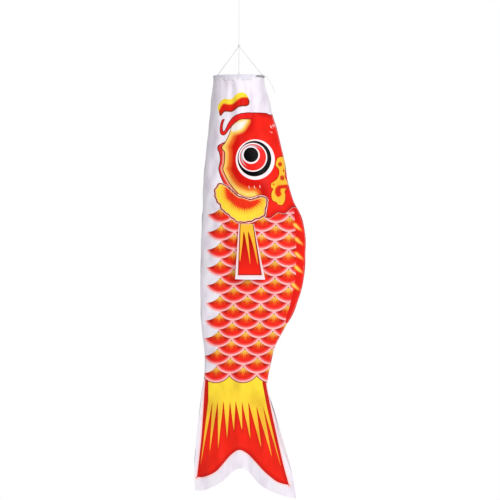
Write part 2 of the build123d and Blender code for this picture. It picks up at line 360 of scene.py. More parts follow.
# %% Colours of a scale
reach = chosen(scale, "reach")
side_way, drop_way = chosen(scale, "side"), chosen(scale, "drop")
angle = scale.math("ARCTAN2", side_way, scale.plus(drop_way, 0.001))
beside = scale.minus(scale.math("ABSOLUTE", side_way), SCALE_PITCH / 2)
above = scale.plus(drop_way, SCALE_DROP / 2)
neighbour = scale.length(beside, above)
under_neighbour = scale.opposite(cut(scale, neighbour, SCALE_REACH + 2.6, 7.5))
rays = scale.math("COSINE", scale.times(angle, 9.5))
hub_length = scale.plus(11.6, scale.times(rays, 2.0))
hub = scale.opposite(cut(scale, reach, hub_length, 6.5))
hub_core = scale.opposite(cut(scale, reach, 8.6, 6.0))
dark_rays = scale.math("COSINE", scale.times(angle, 19.0))
ray_dark = scale.times(scale.times(cut(scale, dark_rays, 0.84, 0.3), 0.8),
                       scale.times(cut(scale, reach, 4.0, 3.0),
                                   scale.opposite(cut(scale, reach, 14.5, 6.0))))
apex_dark = scale.opposite(cut(scale, reach, 2.3, 1.8))
body = scale.mix(cut(scale, reach, 15.0, 9.0), srgb(242, 66, 26), srgb(240, 38, 28))
body = scale.mix(scale.times(hub, 0.85), body, srgb(253, 132, 34))
body = scale.mix(scale.times(hub_core, 0.95), body, srgb(255, 208, 88))
body = scale.mix(ray_dark, body, srgb(168, 44, 10))
neighbour_shade = scale.times(under_neighbour, scale.minus(0.9, scale.times(hub, 0.75)))
body = scale.mix(neighbour_shade, body, srgb(136, 14, 18))
body = scale.mix(apex_dark, body, srgb(112, 40, 18))
body = scale.mix(cut(scale, reach, 22.6, 4.6), body, srgb(250, 116, 116))
body = scale.mix(cut(scale, reach, 24.2, 2.0), body, srgb(255, 188, 188))
scale.fill(scale_out.inputs["Color"], body)
# %% [markdown]
# The mask says where a printed scale lies. The shade is the thin dark line that the last row
# throws on what lies under it.

# %% Mask and shade of the scales
shown = scale.plus(scale.times(use_even, printed(scale, even)), scale.times(use_odd, printed(scale, odd)))
scale.fill(scale_out.inputs["Mask"], shown)
row_under = scale.minus(chosen(scale, "row"), SCALE_LAST_ROW)
past_last = scale.times(scale.math("GREATER_THAN", row_under, 0.0),
                        scale.math("LESS_THAN", row_under, 0.5))
overhang = scale.opposite(cut(scale, neighbour, SCALE_REACH + 1.3, 0.8))
scale.fill(scale_out.inputs["Shade"], scale.times(past_last, overhang))

# %% [markdown]
# ### The outlines
# Each outline is a few corner points, across and down in millimetres, and a smooth curve is drawn
# through them. Some points are given twice, which keeps a corner sharp. The signed distance to the
# closed curve comes from the nearest segment, and its sign from counting how often a level line
# from the point crosses the curve.

# %% Smooth curves and signed distances


def smooth_curve(points, closed=True, steps=6):
    """Points along a Catmull-Rom curve through the given ones."""
    points = np.array(points, float)
    if closed:
        padded = np.vstack([points[-1:], points, points[:2]])
    else:
        padded = np.vstack([points[:1], points, points[-1:]])
    part = np.linspace(0, 1, steps, endpoint=False)[:, None]
    pieces = []
    for a, b, c, d in zip(padded, padded[1:], padded[2:], padded[3:]):
        pieces.append(0.5 * (2 * b + (c - a) * part + (2 * a - 5 * b + 4 * c - d) * part ** 2
                             + (3 * b - a - 3 * c + d) * part ** 3))
    curve = np.vstack(pieces)
    return curve if closed else np.vstack([curve, points[-1:]])


def distance_to(points, curve):
    """Distance of every point to the nearest segment of an open curve."""
    best = np.full(len(points), 1e9)
    for a, b in zip(curve[:-1], curve[1:]):
        along = b - a
        share = np.clip((points - a) @ along / max(along @ along, 1e-12), 0, 1)
        best = np.minimum(best, np.hypot(*(points - a - share[:, None] * along).T))
    return best


def signed_distance(points, outline, smooth=True):
    """Distance to a closed outline in millimetres, positive inside it, kept within 60 mm."""
    curve = smooth_curve(outline) if smooth else np.array(outline, float)
    curve = np.vstack([curve, curve[:1]])
    inside = np.zeros(len(points), bool)
    for (ax, ay), (bx, by) in zip(curve[:-1], curve[1:]):
        if ay == by:
            continue
        crosses = (points[:, 1] < ay) != (points[:, 1] < by)
        crossing_x = ax + (points[:, 1] - ay) * (bx - ax) / (by - ay)
        inside ^= crosses & (points[:, 0] < crossing_x)
    distance = distance_to(points, curve)
    return np.clip(np.where(inside, distance, -distance), -60, 60)


def line_distance(points, line):
    """Distance to an open drawn line, given as its negative so that more is nearer."""
    return -np.clip(distance_to(points, smooth_curve(line, closed=False)), 0, 60)


# %% [markdown]
# The head's shapes come first: the red field, the yellow ribbon over the brow, the lip, the snout,
# the barbel that curls out of the mouth corner, the gill cover, the cloud behind the eye, and the
# small white ticks on the cheek.

# %% Outlines of the head
HEAD = [(-0.5, 66), (14.5, 63.5), (44, 63.5), (54, 66), (98.5, 69), (128.5, 197.5), (106.5, 216.5),
        (89, 217.5), (82, 222.5), (74.5, 228), (63.5, 226.5), (51, 235), (38, 232), (-4, 214),
        (-17.5, 191), (-27.5, 173), (-31.5, 162), (-33, 153.5), (-30.5, 140), (-32, 129),
        (-34.5, 123), (-33.5, 116.5), (-23, 111.5), (-17.5, 102), (-14, 93), (-12, 86), (-7, 78.5)]
FACE_LINE = [(-0.5, 76.5), (-7, 81.5), (-12.5, 91.5), (-17, 102), (-22.5, 112.5), (-24.5, 118.5),
             (-23, 128), (-23, 137.5), (-24, 148), (-26.5, 154.5), (-22.5, 164.5), (-16.5, 176),
             (-9.5, 185), (0.5, 192), (11.5, 196.5), (24.5, 197.5)]
RIBBON = [(-35, 54.5), (-32, 46.5), (-25, 40), (-15, 41), (-9.5, 38.5), (-4.5, 33), (4, 29.5),
          (10.5, 31.5), (14.5, 36.5), (17, 43), (16.5, 49), (13, 52), (6, 52.5), (-0.5, 54),
          (-6.5, 58.5), (-12.5, 61.5), (-22.5, 61), (-25.5, 63), (-30, 68), (-32, 64)]
RIBBON_RED = [(-32, 58.5), (-26, 48.5), (-17.5, 49.5), (-10, 48.5), (-0.5, 41), (6.5, 38),
              (14, 38.5), (17.5, 43.5), (17, 49.5), (13, 52.5), (6, 53), (-0.5, 54.5), (-6.5, 59),
              (-12.5, 62), (-22.5, 61.5), (-25.5, 63.5), (-30, 68.5), (-32.5, 64.5)]
LIP = [(-22.5, 111.5), (-33, 116.5), (-34.5, 123), (-32, 129), (-30.5, 140), (-33, 153.5),
       (-31.5, 162), (-27.5, 173), (-21, 184), (-12, 193), (-4, 199), (-1, 196.5), (-9.5, 186.5),
       (-16.5, 176.5), (-22.5, 165), (-26.5, 155), (-24.5, 148), (-23.5, 137.5), (-23.5, 128),
       (-26.5, 124), (-28.5, 119)]
SNOUT = [(-12.5, 87), (-4.5, 80), (4, 77), (13, 75.5), (9.5, 83), (4.5, 89.5), (-4, 93), (-12, 93.5)]
BARBEL = [(20.5, 63.5), (4, 64.5), (-7, 68.5), (-14, 75.5), (-18.5, 83), (-21.5, 89.5),
          (-24, 93.5), (-26, 93.5), (-27, 90), (-27, 84), (-25.5, 78), (-24, 74), (-27.5, 75),
          (-30, 82.5), (-31, 91.5), (-29.5, 97.5), (-26, 99.5), (-22, 98), (-18, 92.5),
          (-12, 84.5), (-4.5, 78), (4, 73.5), (20.5, 72.5)]
GILL = [(-30.5, 180.5), (-35.5, 185), (-38.5, 192), (-37.5, 199.5), (-35.5, 206.5), (-30.5, 212.5),
        (-26.5, 221), (-19, 227), (-11.5, 233.5), (-2, 240.5), (9, 241), (18, 240), (29, 235.5),
        (39, 232), (41.5, 226.5), (43, 217.5), (45, 208.5), (42, 203.5), (34.5, 202.5),
        (25, 205.5), (18, 207), (8, 203.5), (-2, 201), (-11, 193), (-17.5, 187), (-23, 183.5)]
GILL_RED = [(-21.5, 186), (-19.5, 201), (-12, 208.5), (-4, 216), (7, 220), (18, 219), (28, 214),
            (34, 207), (25, 207), (18, 208.5), (8, 204.5), (-2, 202), (-12, 194.5), (-18, 188)]
CHEEK = [(-2, 197.5), (7, 201), (18, 203.5), (27, 201.5), (35.5, 199), (43.5, 201),
              (47, 206.5), (46, 214), (44.5, 226.5), (42, 233), (28, 224), (6, 216), (-8, 203)]
CLOUD = [(66, 135), (61.5, 141), (60, 149), (64.5, 154.5), (66, 161), (63.5, 169.5), (58, 175),
         (53, 178.5), (52.5, 185.5), (56, 188), (53.5, 193), (53, 201), (55.5, 207.5), (61, 210),
         (64.5, 214), (71, 214.5), (75.5, 208.5), (77, 198.5), (76, 191), (83.5, 184),
         (83.5, 175.5), (78, 168.5), (80, 159), (86.5, 147.5), (80, 135)]
CLOUD_CURL = [(83.5, 181), (71, 181.5), (63.5, 183.5), (60, 189), (60, 195.5), (63.5, 200.5),
              (67.5, 199.5), (69.5, 195.5), (68, 191.5), (69.5, 187), (76.5, 187), (83.5, 188)]
TICK = [(17, 180), (15, 184), (16.5, 188), (22, 189.5), (18.5, 186.5), (17.5, 183)]
BROW = [(51, 81.5), (52, 87), (57.5, 90), (55, 86), (53, 82.5)]
LOWER_BROW = [(49.5, 92), (52, 95.5), (59, 96.5), (54.5, 93.5)]


def moved(outline, across, below):
    """The same outline at another place."""
    return [(x + across, d + below) for x, d in outline]


MARKS = [TICK, moved(TICK, 8.9, 0), moved(TICK, 17.9, -0.9), BROW, moved(BROW, 4.2, -1.8),
         moved(BROW, 8.4, -2.6), LOWER_BROW]
CLOUD_SPOTS = [(68, 147, 4.2), (75, 157.5, 2.6), (71.5, 169.5, 4.6), (57, 180.5, 2.0)]

# %% [markdown]
# Then the fins and the tail: the red fin along the back with its yellow flames, the side fin with
# yellow rays, and the fan of straight rays on the tail.

# %% Outlines of the fins and the tail
BACK_FIN = [(87, 212), (91, 225.5), (92, 247), (94, 272), (94, 308), (93.5, 331.5), (91, 344.5),
            (87, 366), (83.5, 381), (77.5, 402.5), (84.5, 407.5), (150.5, 371), (150.5, 199)]
FLAME = [(88.5, 244.5), (93.5, 244), (99, 249.5), (104, 256.5), (96.5, 254), (90.5, 249.5)]
FLAMES = [FLAME] + [moved(FLAME, across, drop) for across, drop in
                    ((2.2, 23.3), (2.6, 47.7), (1.8, 69.8), (-3.0, 98.6))]
SIDE_FIN = [(2, 244.5), (23, 244.5), (37, 329), (-1, 329)]
FIN_RAYS = [(1.5, 245), (23.5, 245), (25, 261.5), (31.5, 313.5), (22, 277), (15, 258.5),
            (17, 286), (18.5, 311.5), (13.5, 284), (8, 258.5), (5.5, 280.5), (1.5, 308), (0.5, 275)]
TAIL_FIELD = [(-54.4, 492), (-54.4, 492), (-55, 500), (-56.7, 522), (-58.4, 550), (-61.2, 592),
              (-65, 630), (-69, 663), (-69, 663), (-57.5, 662.5), (-40, 654.5), (-27, 641.5),
              (-14.5, 627), (0, 618), (15, 625), (29.5, 640), (43, 654.5), (60.5, 669),
              (71, 673.5), (82, 676), (82, 676), (73.5, 645.5), (62, 595.5), (52, 549.5),
              (44.5, 510), (42, 492), (42, 492)]
TAIL_RAYS = [(-50.5, 490), (-50.5, 536), (-64, 647), (-43.5, 536), (-49, 626.5), (-35, 536),
             (-34.5, 618), (-25.5, 536), (-19.5, 601), (-15, 536), (-8.5, 587.5), (-5.5, 537),
             (5.5, 589), (4.5, 537), (19, 602), (15, 537), (37.5, 618), (28, 543), (55.5, 635),
             (39, 543), (71, 652.5), (46.5, 549.5), (39, 510), (38, 490)]
TAIL_EDGE = [(-72, 685.5), (-57.5, 685), (-40, 677.5), (-27, 669.5), (-14.5, 658.5), (-4, 650.5),
             (8, 649.5), (17.5, 656), (32, 673.5), (45.5, 683), (63, 691), (93, 699)]

# %% [markdown]
# ### The eye
# The eye is a set of rings round nearby centres, so it needs no outline at all: each ring is a
# disc laid over a slightly larger one.

# %% Eye group
eye, eye_in, eye_out = new_group("carp_eye", {"Across": FLOAT, "Down": FLOAT},
                                 {"Color": COLOR, "Mask": FLOAT})


def disc(tree, across, below, wide, high=None):
    """Signed distance in millimetres to a disc, positive inside."""
    high = high or wide
    side = tree.over(tree.minus(eye_in.outputs["Across"], across), wide)
    drop = tree.over(tree.minus(eye_in.outputs["Down"], below), high)
    return tree.times(tree.opposite(tree.length(side, drop)), wide)


EYE_WHITE = srgb(253, 238, 240)
outer_ring = disc(eye, 26.9, 139.8, 32.0, 33.2)
look = eye.mix(cut(eye, disc(eye, 25.6, 138.3, 27.7, 29.3)), EYE_WHITE, BLACK)
look = eye.mix(cut(eye, disc(eye, 23.0, 136.1, 23.5, 23.7)), look, EYE_WHITE)
look = eye.mix(cut(eye, disc(eye, 23.0, 136.1, 21.6, 21.8)), look, srgb(238, 34, 28))
crescent = eye.times(cut(eye, disc(eye, 21.5, 134.6, 18.8)),
                     eye.opposite(cut(eye, disc(eye, 24.6, 137.0, 18.4), 0.0, 1.4)))
look = eye.mix(crescent, look, srgb(176, 176, 182))
look = eye.mix(cut(eye, disc(eye, 19.8, 132.4, 14.5)), look, EYE_WHITE)
look = eye.mix(cut(eye, disc(eye, 19.8, 132.0, 12.2)), look, BLACK)
eye.fill(eye_out.inputs["Color"], look)
eye.fill(eye_out.inputs["Mask"], cut(eye, outer_ring))

# %% [markdown]
# ### The print
# The print group reads the distances from the cloth, lays the inks over each other in the order
# they are printed, and gives one colour. It starts with the tail, which goes under the scales:
# a red field, then rays that turn orange towards their tips.

# %% Print of the tail and the scales
PRINTED = ["across", "below", "scale_across", "scale_down", "head", "face", "ribbon", "ribbon_red",
           "lip", "snout", "barbel", "gill", "gill_red", "cheek", "cloud", "curl", "spots", "marks",
           "back_fin", "flames", "tail_field", "tail_rays", "mottle"]
carp, print_in, print_out = new_group("carp_print", {name: FLOAT for name in PRINTED}, {"Color": COLOR})
read = {name: print_in.outputs[name] for name in PRINTED}

scales = carp.group("fish_scales", Across=read["scale_across"], Down=read["scale_down"])

tail_low = carp.over(carp.minus(read["below"], 515.0), 120.0, clamp=True)
ray_ink = carp.mix(tail_low, srgb(250, 220, 58), srgb(252, 164, 56))
colour = outlined(carp, WHITE, read["tail_field"], srgb(241, 40, 26), line=1.0, halo=3.0,
                  line_ink=srgb(186, 26, 28))
near_ray = carp.times(cut(carp, read["tail_rays"], -2.6, 5.0), cut(carp, read["tail_field"], 0.5))
near_ray = carp.times(near_ray, carp.opposite(tail_low))
colour = carp.mix(carp.times(near_ray, 0.95), colour, srgb(170, 40, 6))
tail_rim = carp.times(cut(carp, read["tail_field"], 0.0),
                      carp.opposite(cut(carp, read["tail_field"], 4.0, 6.0)))
colour = carp.mix(carp.times(tail_rim, 0.55), colour, srgb(178, 16, 18))
tail_ray_mask = carp.times(cut(carp, read["tail_rays"]), cut(carp, read["tail_field"], 0.8))
colour = carp.mix(tail_ray_mask, colour, ray_ink)

colour = carp.mix(scales["Shade"], colour, srgb(132, 26, 22))
colour = carp.mix(scales["Mask"], colour, scales["Color"])

# %% [markdown]
# The back fin is red, deeper beside its edge, with soft yellow flames along it.

# %% Print of the back fin
colour = outlined(carp, colour, read["back_fin"], srgb(244, 36, 22), line=0.0, halo=0.0)
fin_depth = cut(carp, read["back_fin"], 7.0, 10.0)
fin_shade = carp.times(cut(carp, read["back_fin"], 1.0), 0.55)
colour = carp.mix(carp.times(fin_shade, carp.opposite(fin_depth)), colour, srgb(206, 20, 26))
colour = carp.mix(cut(carp, read["flames"], -0.6, 3.4), colour, srgb(248, 112, 40))
colour = carp.mix(cut(carp, read["flames"], 1.0, 2.0), colour, srgb(252, 206, 92))

# %% [markdown]
# The head is red and deepest round the eye. Its face edge is pale yellow and melts into the red.
# The snout is a pale patch under the barbel, and the lip has a lighter line along the face.

# %% Print of the head
colour = outlined(carp, colour, read["head"], RED, line=1.3, halo=1.0)
deep = carp.times(cut(carp, read["face"], -27.0, 12.0), cut(carp, read["head"], 3.0, 4.0))
colour = carp.mix(carp.times(deep, 0.85), colour, srgb(208, 18, 12))
face_glow = carp.times(cut(carp, read["face"], -8.5, 11.0), cut(carp, read["head"], 0.6))
colour = carp.mix(face_glow, colour, srgb(250, 142, 52))
face_core = carp.times(cut(carp, read["face"], -4.4, 6.5), cut(carp, read["head"], 0.6))
colour = carp.mix(face_core, colour, srgb(252, 216, 108))
rim_shade = carp.times(cut(carp, read["head"], 0.6, 0.8),
                       carp.opposite(cut(carp, read["head"], 4.5, 8.0)))
far_back = carp.over(carp.minus(read["across"], 8.0), 30.0, clamp=True)
rim_shade = carp.times(rim_shade, carp.times(far_back, 0.6))
colour = carp.mix(rim_shade, colour, srgb(176, 10, 16))
snout_edge = carp.times(cut(carp, read["snout"], -4.5, 6.0), cut(carp, read["head"], 0.8))
colour = carp.mix(snout_edge, colour, srgb(246, 204, 92))
colour = carp.mix(cut(carp, read["snout"], 0.3, 4.2), colour, srgb(238, 236, 226))
under_barbel = carp.times(cut(carp, read["snout"], -8.0, 1.0), cut(carp, read["barbel"], -0.6))
colour = carp.mix(under_barbel, colour, MAROON)
colour = carp.mix(cut(carp, read["barbel"], 0.6, 0.6), colour, srgb(232, 34, 32))
colour = outlined(carp, colour, read["lip"], srgb(232, 48, 46), line=1.3, halo=0.0)
lip_light = carp.times(cut(carp, read["face"], -3.8, 1.2), cut(carp, read["lip"], 1.0, 0.8))
colour = carp.mix(carp.times(lip_light, 0.7), colour, srgb(252, 190, 160))

# %% [markdown]
# The ribbon over the brow is red below and yellow above. The gill cover is outlined three times,
# pink, maroon and a warm pale ink, and then filled with yellow and its red inner shade.

# %% Print of the ribbon and the gill
colour = outlined(carp, colour, read["ribbon"], srgb(253, 222, 60), line=0.0, halo=0.0)
ribbon_low = carp.times(cut(carp, read["ribbon_red"], 0.0, 2.4), cut(carp, read["ribbon"], 0.6))
ribbon_edge = carp.times(cut(carp, read["ribbon_red"], -0.9), cut(carp, read["ribbon"], 0.0))
colour = carp.mix(carp.times(ribbon_edge, 0.6), colour, srgb(250, 150, 40))
colour = carp.mix(ribbon_low, colour, srgb(226, 34, 22))
ribbon_foot = carp.times(cut(carp, read["ribbon_red"], 0.0),
                         carp.opposite(cut(carp, read["ribbon"], 2.2, 1.6)))
colour = carp.mix(carp.times(ribbon_foot, 0.75), colour, MAROON)

for half_width, line_colour in ((1.8, MAROON), (0.8, srgb(255, 200, 190))):
    line = carp.times(cut(carp, read["cheek"], -half_width),
                      carp.opposite(cut(carp, read["cheek"], half_width)))
    colour = carp.mix(line, colour, line_colour)
colour = carp.mix(cut(carp, read["gill"], -3.3, 0.9), colour, HALO)
colour = carp.mix(cut(carp, read["gill"], -2.5), colour, srgb(118, 14, 20))
colour = carp.mix(cut(carp, read["gill"], -0.6, 0.6), colour, srgb(253, 186, 150))
colour = carp.mix(cut(carp, read["gill"], 0.7, 0.8), colour, srgb(252, 218, 62))
gill_warm = carp.times(cut(carp, read["gill_red"], -6.5, 8.0), cut(carp, read["gill"], 0.8))
colour = carp.mix(gill_warm, colour, srgb(250, 176, 50))
gill_shade = carp.times(cut(carp, read["gill_red"], -1.6, 4.0), cut(carp, read["gill"], 0.6))
colour = carp.mix(gill_shade, colour, srgb(236, 52, 26))

# %% [markdown]
# Last come the cloud behind the eye with its spots and its curl, the small white marks, and the eye
# on top. Satin gleams and dulls in soft streaks along its threads, and that sheen is painted into
# the colour: a painted shade darkens the streaks where the satin would not gleam, and keeps their hue.

# %% Print of the cloud, the marks and the painted sheen
colour = outlined(carp, colour, read["cloud"], srgb(252, 192, 54), line=1.3, halo=0.0,
                  line_ink=srgb(172, 30, 16))
cloud_in = cut(carp, read["cloud"], 0.6)
colour = carp.mix(carp.times(cloud_in, cut(carp, read["curl"], -0.4, 2.2)), colour, srgb(226, 50, 22))
colour = carp.mix(carp.times(cloud_in, cut(carp, read["spots"], 0.4, 2.0)), colour, srgb(206, 64, 24))
colour = carp.mix(cut(carp, read["marks"], 0.75, 0.6), colour, srgb(255, 236, 232))
eye_look = carp.group("carp_eye", Across=read["across"], Down=read["below"])
colour = carp.mix(eye_look["Mask"], colour, eye_look["Color"])
# painted sheen: slow noise darkens the print in streaks where satin would not gleam
painted_sheen_streak = carp.times(carp.minus(read["mottle"], 0.46), 3.2, clamp=True)
painted_dull_shade = carp.add("ShaderNodeVectorMath", 0, {"operation": "MULTIPLY"}, i0=colour, i1=(0.80, 0.74, 0.80))
carp.fill(print_out.inputs["Color"], carp.mix(painted_sheen_streak, colour, painted_dull_shade))

# %% [markdown]
# ## The shape of the cloth
# The two printed sides lie edge to edge. At the mouth they make a circle round the hoop, and lower
# down the fish is wide and flat. For each height we know where the belly edge and the back edge
# are and how far the cloth bulges, so a place on a side is a share of the way across plus a bulge.

# %% Silhouette and bulge
SILHOUETTE = [(0, -41.3, 41.3), (14, -42.6, 42.6), (40, -46, 50), (67, -48, 56), (90, -50, 63),
              (116, -53, 69), (143, -56, 76), (169, -58, 79), (196, -59.5, 86), (209, -59.7, 91),
              (222, -60, 98), (235, -61, 103.5), (249, -61.2, 107), (262, -61.8, 109),
              (275, -62.5, 110), (288, -63, 110), (315, -63.2, 109), (341, -63.4, 105.8),
              (368, -63.6, 99), (394, -63, 89), (421, -61, 73), (447, -58, 60), (473, -56, 53),
              (500, -57.5, 47.5), (513, -60, 46.5), (526, -62.5, 49.5), (553, -65, 58),
              (579, -68, 66), (606, -71, 74), (632, -73, 81), (659, -73.5, 88), (685, -72.7, 92.6),
              (700, -72, 94)]
BULGE = [(0, 41.3), (40, 41.6), (90, 41.0), (143, 39.5), (196, 37.0), (235, 34.4), (275, 32.2),
         (328, 28.4), (381, 24.4), (421, 20.3), (460, 16.5), (500, 12.0), (528, 8.6), (579, 6.9),
         (632, 5.6), (704, 4.2)]
TABLE_DOWN = np.linspace(0, 704, 353)


def along_table(table, column):
    """The value of one table column at any height, through a smooth curve."""
    curve = smooth_curve([(row[0], row[column]) for row in table], closed=False, steps=8)
    values = np.interp(TABLE_DOWN, curve[:, 0], curve[:, 1])
    return lambda below: np.interp(below, TABLE_DOWN, values)


belly_edge = along_table(SILHOUETTE, 1)
back_edge = along_table(SILHOUETTE, 2)
bulge_at = along_table(BULGE, 1)


def inner_back(below, side):
    """The back edge of one side; the left tail panel is a little narrower than the right one."""
    narrower = 5.0 * np.exp(-((below - 603) / 44.0) ** 2) if side == LEFT else 0.0
    return back_edge(below) - narrower


def fade(value, start, end):
    """0 before the start, 1 after the end, smooth in between."""
    share = np.clip((value - start) / (end - start), 0, 1)
    return share * share * (3 - 2 * share)


# %% [markdown]
# Cloth is never quite smooth. A strong fold runs down under the front leg of the bridle, the hem
# gathers the cloth into small puckers, slanting folds cross the white belly, and the whole side
# swells and sinks a little. All of them are smooth waves that die out at the seams.

# %% Folds


def folds(share, below, side):
    """How far the cloth stands out from its smooth shape, in millimetres."""
    x = belly_edge(below) + (share + 1) / 2 * (back_edge(below) - belly_edge(below))
    turn = 0.0 if side == LEFT else 1.9
    gather = np.exp(-np.clip(below - 6, 0, None) / 17)
    pucker = 0.55 * gather * np.sin(0.62 * x + 0.9 * np.sin(0.17 * x + turn))
    pull = np.exp(-((x + 1.5) / 5.5) ** 2) - 0.75 * np.exp(-((x - 8.5) / 5.0) ** 2)
    pull = pull - 0.5 * np.exp(-((x + 12.5) / 5.0) ** 2)
    strong = 3.8 * pull * np.exp(-(np.clip(below - 16, 0, None) / 62) ** 2) * fade(below, 3, 22)
    second = 2.8 * np.exp(-((x - 27 - 0.06 * below) / 7.0) ** 2) * np.exp(-((below - 48) / 42) ** 2)
    third = 2.9 * np.exp(-((x + 33 + 0.03 * below) / 6.0) ** 2) * np.exp(-((below - 62) / 60) ** 2)
    swell = 1.7 * np.sin(below / 31 + 0.035 * x + turn) + 1.1 * np.sin(below / 17.5 - 0.06 * x + 2 * turn)
    slant = np.sin((below + 1.5 * x) / 7.6 + 1.3 * np.sin(below / 43) + turn)
    slant = 1.1 * slant * np.exp(-((x - belly_edge(below) - 13) / 11.0) ** 2) * fade(below, 60, 130)
    back = np.sin((below - 1.1 * x) / 9.5 + turn) * np.exp(-((back_edge(below) - x - 14) / 13.0) ** 2)
    tail = fade(below, 470, 540) * (2.4 * np.sin(x / 14.5 + below / 170 + turn)
                                    + 1.0 * np.sin(x / 6.3 + below / 90 + 1) + 0.35 * np.sin(x / 2.9))
    calm = 1 - 0.8 * fade(below, 205, 232) * (1 - fade(below, 345, 375)) * np.exp(-((x - 17) / 30) ** 2)
    quiet = calm * fade(below, 25, 80) * (1.4 * swell + 1.4 * slant + back)
    waves = strong + second + third + quiet + 1.3 * tail
    edge_calm = np.sqrt(np.clip(1 - share ** 2, 0, 1))
    return pucker * edge_calm ** 0.5 + waves * edge_calm


def seam_pucker(share, below):
    """Fine gathers that the seam's stitches pull into the two edges."""
    near = np.exp(-(1 - np.abs(share)) * 9.0)
    return 0.35 * near * np.sin(below / 1.75 + 0.8 * np.sin(below / 11)) * fade(below, 12, 30)


# %% [markdown]
# Folds and bulge together give a place on the cloth. The profile across is a flattened arch, fuller
# at the mouth, and near the two edges the faces stay a hair apart.

# %% Places on a side


def cloth_places(share, below, side, lift=0.0):
    """Across, depth and height, in millimetres, of places on one side of the fish."""
    left, right = belly_edge(below), inner_back(below, side)
    across = left + (share + 1) / 2 * (right - left)
    roundness = np.interp(below, [0, 60, 200, 420, 520, 704], [0.5, 0.5, 0.56, 0.66, 0.6, 0.5])
    profile = np.clip(1 - share ** 2, 0, 1) ** roundness
    edge_gap = np.interp(below, [0, 500, 540, 704], [0.22, 0.22, 0.7, 1.1])
    stand = bulge_at(below) * profile + folds(share, below, side) + lift
    depth = side * np.maximum(edge_gap + stand + seam_pucker(share, below) * 0.5, 0.2)
    edge_wave = 0.45 * np.sin(below / 12.5 + side) * np.sign(share) * np.abs(share) ** 6
    return across + edge_wave * fade(below, 14, 60), depth, below


def share_of(across, below, side):
    """The share of the way across, -1 to 1, of a place in millimetres."""
    left, right = belly_edge(below), inner_back(below, side)
    return (across - left) / (right - left) * 2 - 1


def to_frame(across, depth, below):
    """Stack places in millimetres into frame positions in metres."""
    return np.stack([across * MM, depth * MM, rim_z - below * MM], axis=-1)


# %% [markdown]
# A cloth piece is a grid of such places. The columns crowd towards the two edges, where the
# bulge turns quickly. Each grid point also stores what the print needs: its place on the flat
# cloth and its distance to every outline. The right side carries the same print, mirrored.

# %% Cloth grid
COLUMNS = 164
ROW_STEP = 1.75
even_steps = np.linspace(-1, 1, COLUMNS + 1)
COLUMN_SHARES = 0.2 * even_steps + 0.8 * np.sin(even_steps * np.pi / 2)
SCALE_START = [(0, -29.1), (247, -29.1), (275, -30.6), (305, -30.9), (363, -30.9), (391, -32.1),
               (420, -33.9), (450, -35.3), (480, -37.5), (510, -38.8), (704, -38.8)]


def print_values(across, below):
    """Every named value that the print reads, for places given in millimetres."""
    places = np.stack([across, below], axis=-1)
    start = np.interp(below, *zip(*SCALE_START))
    barbel = signed_distance(places, BARBEL)
    around = np.arctan2(below - 192.0, across - 6.0)
    spots = np.max([r - np.hypot(across - x, below - y) for x, y, r in CLOUD_SPOTS], axis=0)
    return {
        "across": across, "below": below, "scale_across": across - start, "scale_down": below - 217.0,
        "head": np.maximum(signed_distance(places, HEAD), barbel), "face": line_distance(places, FACE_LINE),
        "ribbon": signed_distance(places, RIBBON), "ribbon_red": signed_distance(places, RIBBON_RED),
        "lip": signed_distance(places, LIP), "snout": signed_distance(places, SNOUT),
        "barbel": barbel, "gill": signed_distance(places, GILL) + 0.55 * np.sin(26 * around),
        "gill_red": signed_distance(places, GILL_RED) + 2.1 * np.sin(48 * around),
        "cheek": signed_distance(places, CHEEK),
        "cloud": signed_distance(places, CLOUD), "curl": signed_distance(places, CLOUD_CURL),
        "spots": spots, "marks": np.max([signed_distance(places, mark) for mark in MARKS], axis=0),
        "back_fin": signed_distance(places, BACK_FIN),
        "flames": np.max([signed_distance(places, flame) for flame in FLAMES], axis=0),
        "tail_field": signed_distance(places, TAIL_FIELD),
        "tail_rays": signed_distance(places, TAIL_RAYS, smooth=False)}

# %% [markdown]
# The mesh itself comes straight from the grid of places. It carries the flat coordinates of the
# cloth and all the stored values, and it gets its thickness from a Solidify modifier.

# %% Grid mesh


def grid_mesh(name, points, across, below, outward, values):
    """A mesh of a rows by columns grid, with flat coordinates and named values on its points.

    Its border edges are marked sharp, so that the thin cut edge of the cloth stays crisp."""
    rows, columns = points.shape[:2]
    index = np.arange(rows * columns).reshape(rows, columns)
    quads = np.stack([index[:-1, :-1], index[:-1, 1:], index[1:, 1:], index[1:, :-1]], -1).reshape(-1, 4)
    if outward == LEFT:
        quads = quads[:, ::-1]
    mesh = bpy.data.meshes.new(name)
    mesh.from_pydata(points.reshape(-1, 3).tolist(), [], quads.tolist())
    mesh.polygons.foreach_set("use_smooth", [True] * len(mesh.polygons))
    ends = np.array([edge.vertices[:] for edge in mesh.edges])
    row, column = ends // columns, ends % columns
    along_row = (row[:, 0] == row[:, 1]) & ((row[:, 0] == 0) | (row[:, 0] == rows - 1))
    along_column = (column[:, 0] == column[:, 1]) & ((column[:, 0] == 0) | (column[:, 0] == columns - 1))
    mesh.edges.foreach_set("use_edge_sharp", (along_row | along_column).tolist())
    flat = mesh.uv_layers.new(name="flat")
    corner = np.array([loop.vertex_index for loop in mesh.loops])
    uv = np.stack([across.ravel()[corner] * MM + 0.2, 0.8 - below.ravel()[corner] * MM], -1)
    flat.data.foreach_set("uv", uv.ravel().astype(np.float32))
    for key, value in values.items():
        layer = mesh.attributes.new(key, "FLOAT", "POINT")
        layer.data.foreach_set("value", np.ascontiguousarray(value.ravel(), np.float32))
    return mesh


def add_object(name, mesh):
    """Link a mesh into the scene as an object."""
    piece = bpy.data.objects.new(name, mesh)
    bpy.context.scene.collection.objects.link(piece)
    return piece


CLOTH_THICKNESS = 0.3


def give_thickness(piece, inner_slot=1):
    """The cloth gets its thickness inwards, and its inner face the paler second material."""
    solid = piece.modifiers.new("cloth_thickness", "SOLIDIFY")
    solid.thickness = CLOTH_THICKNESS * MM
    solid.offset = -1
    solid.material_offset = inner_slot
    solid.use_even_offset = False
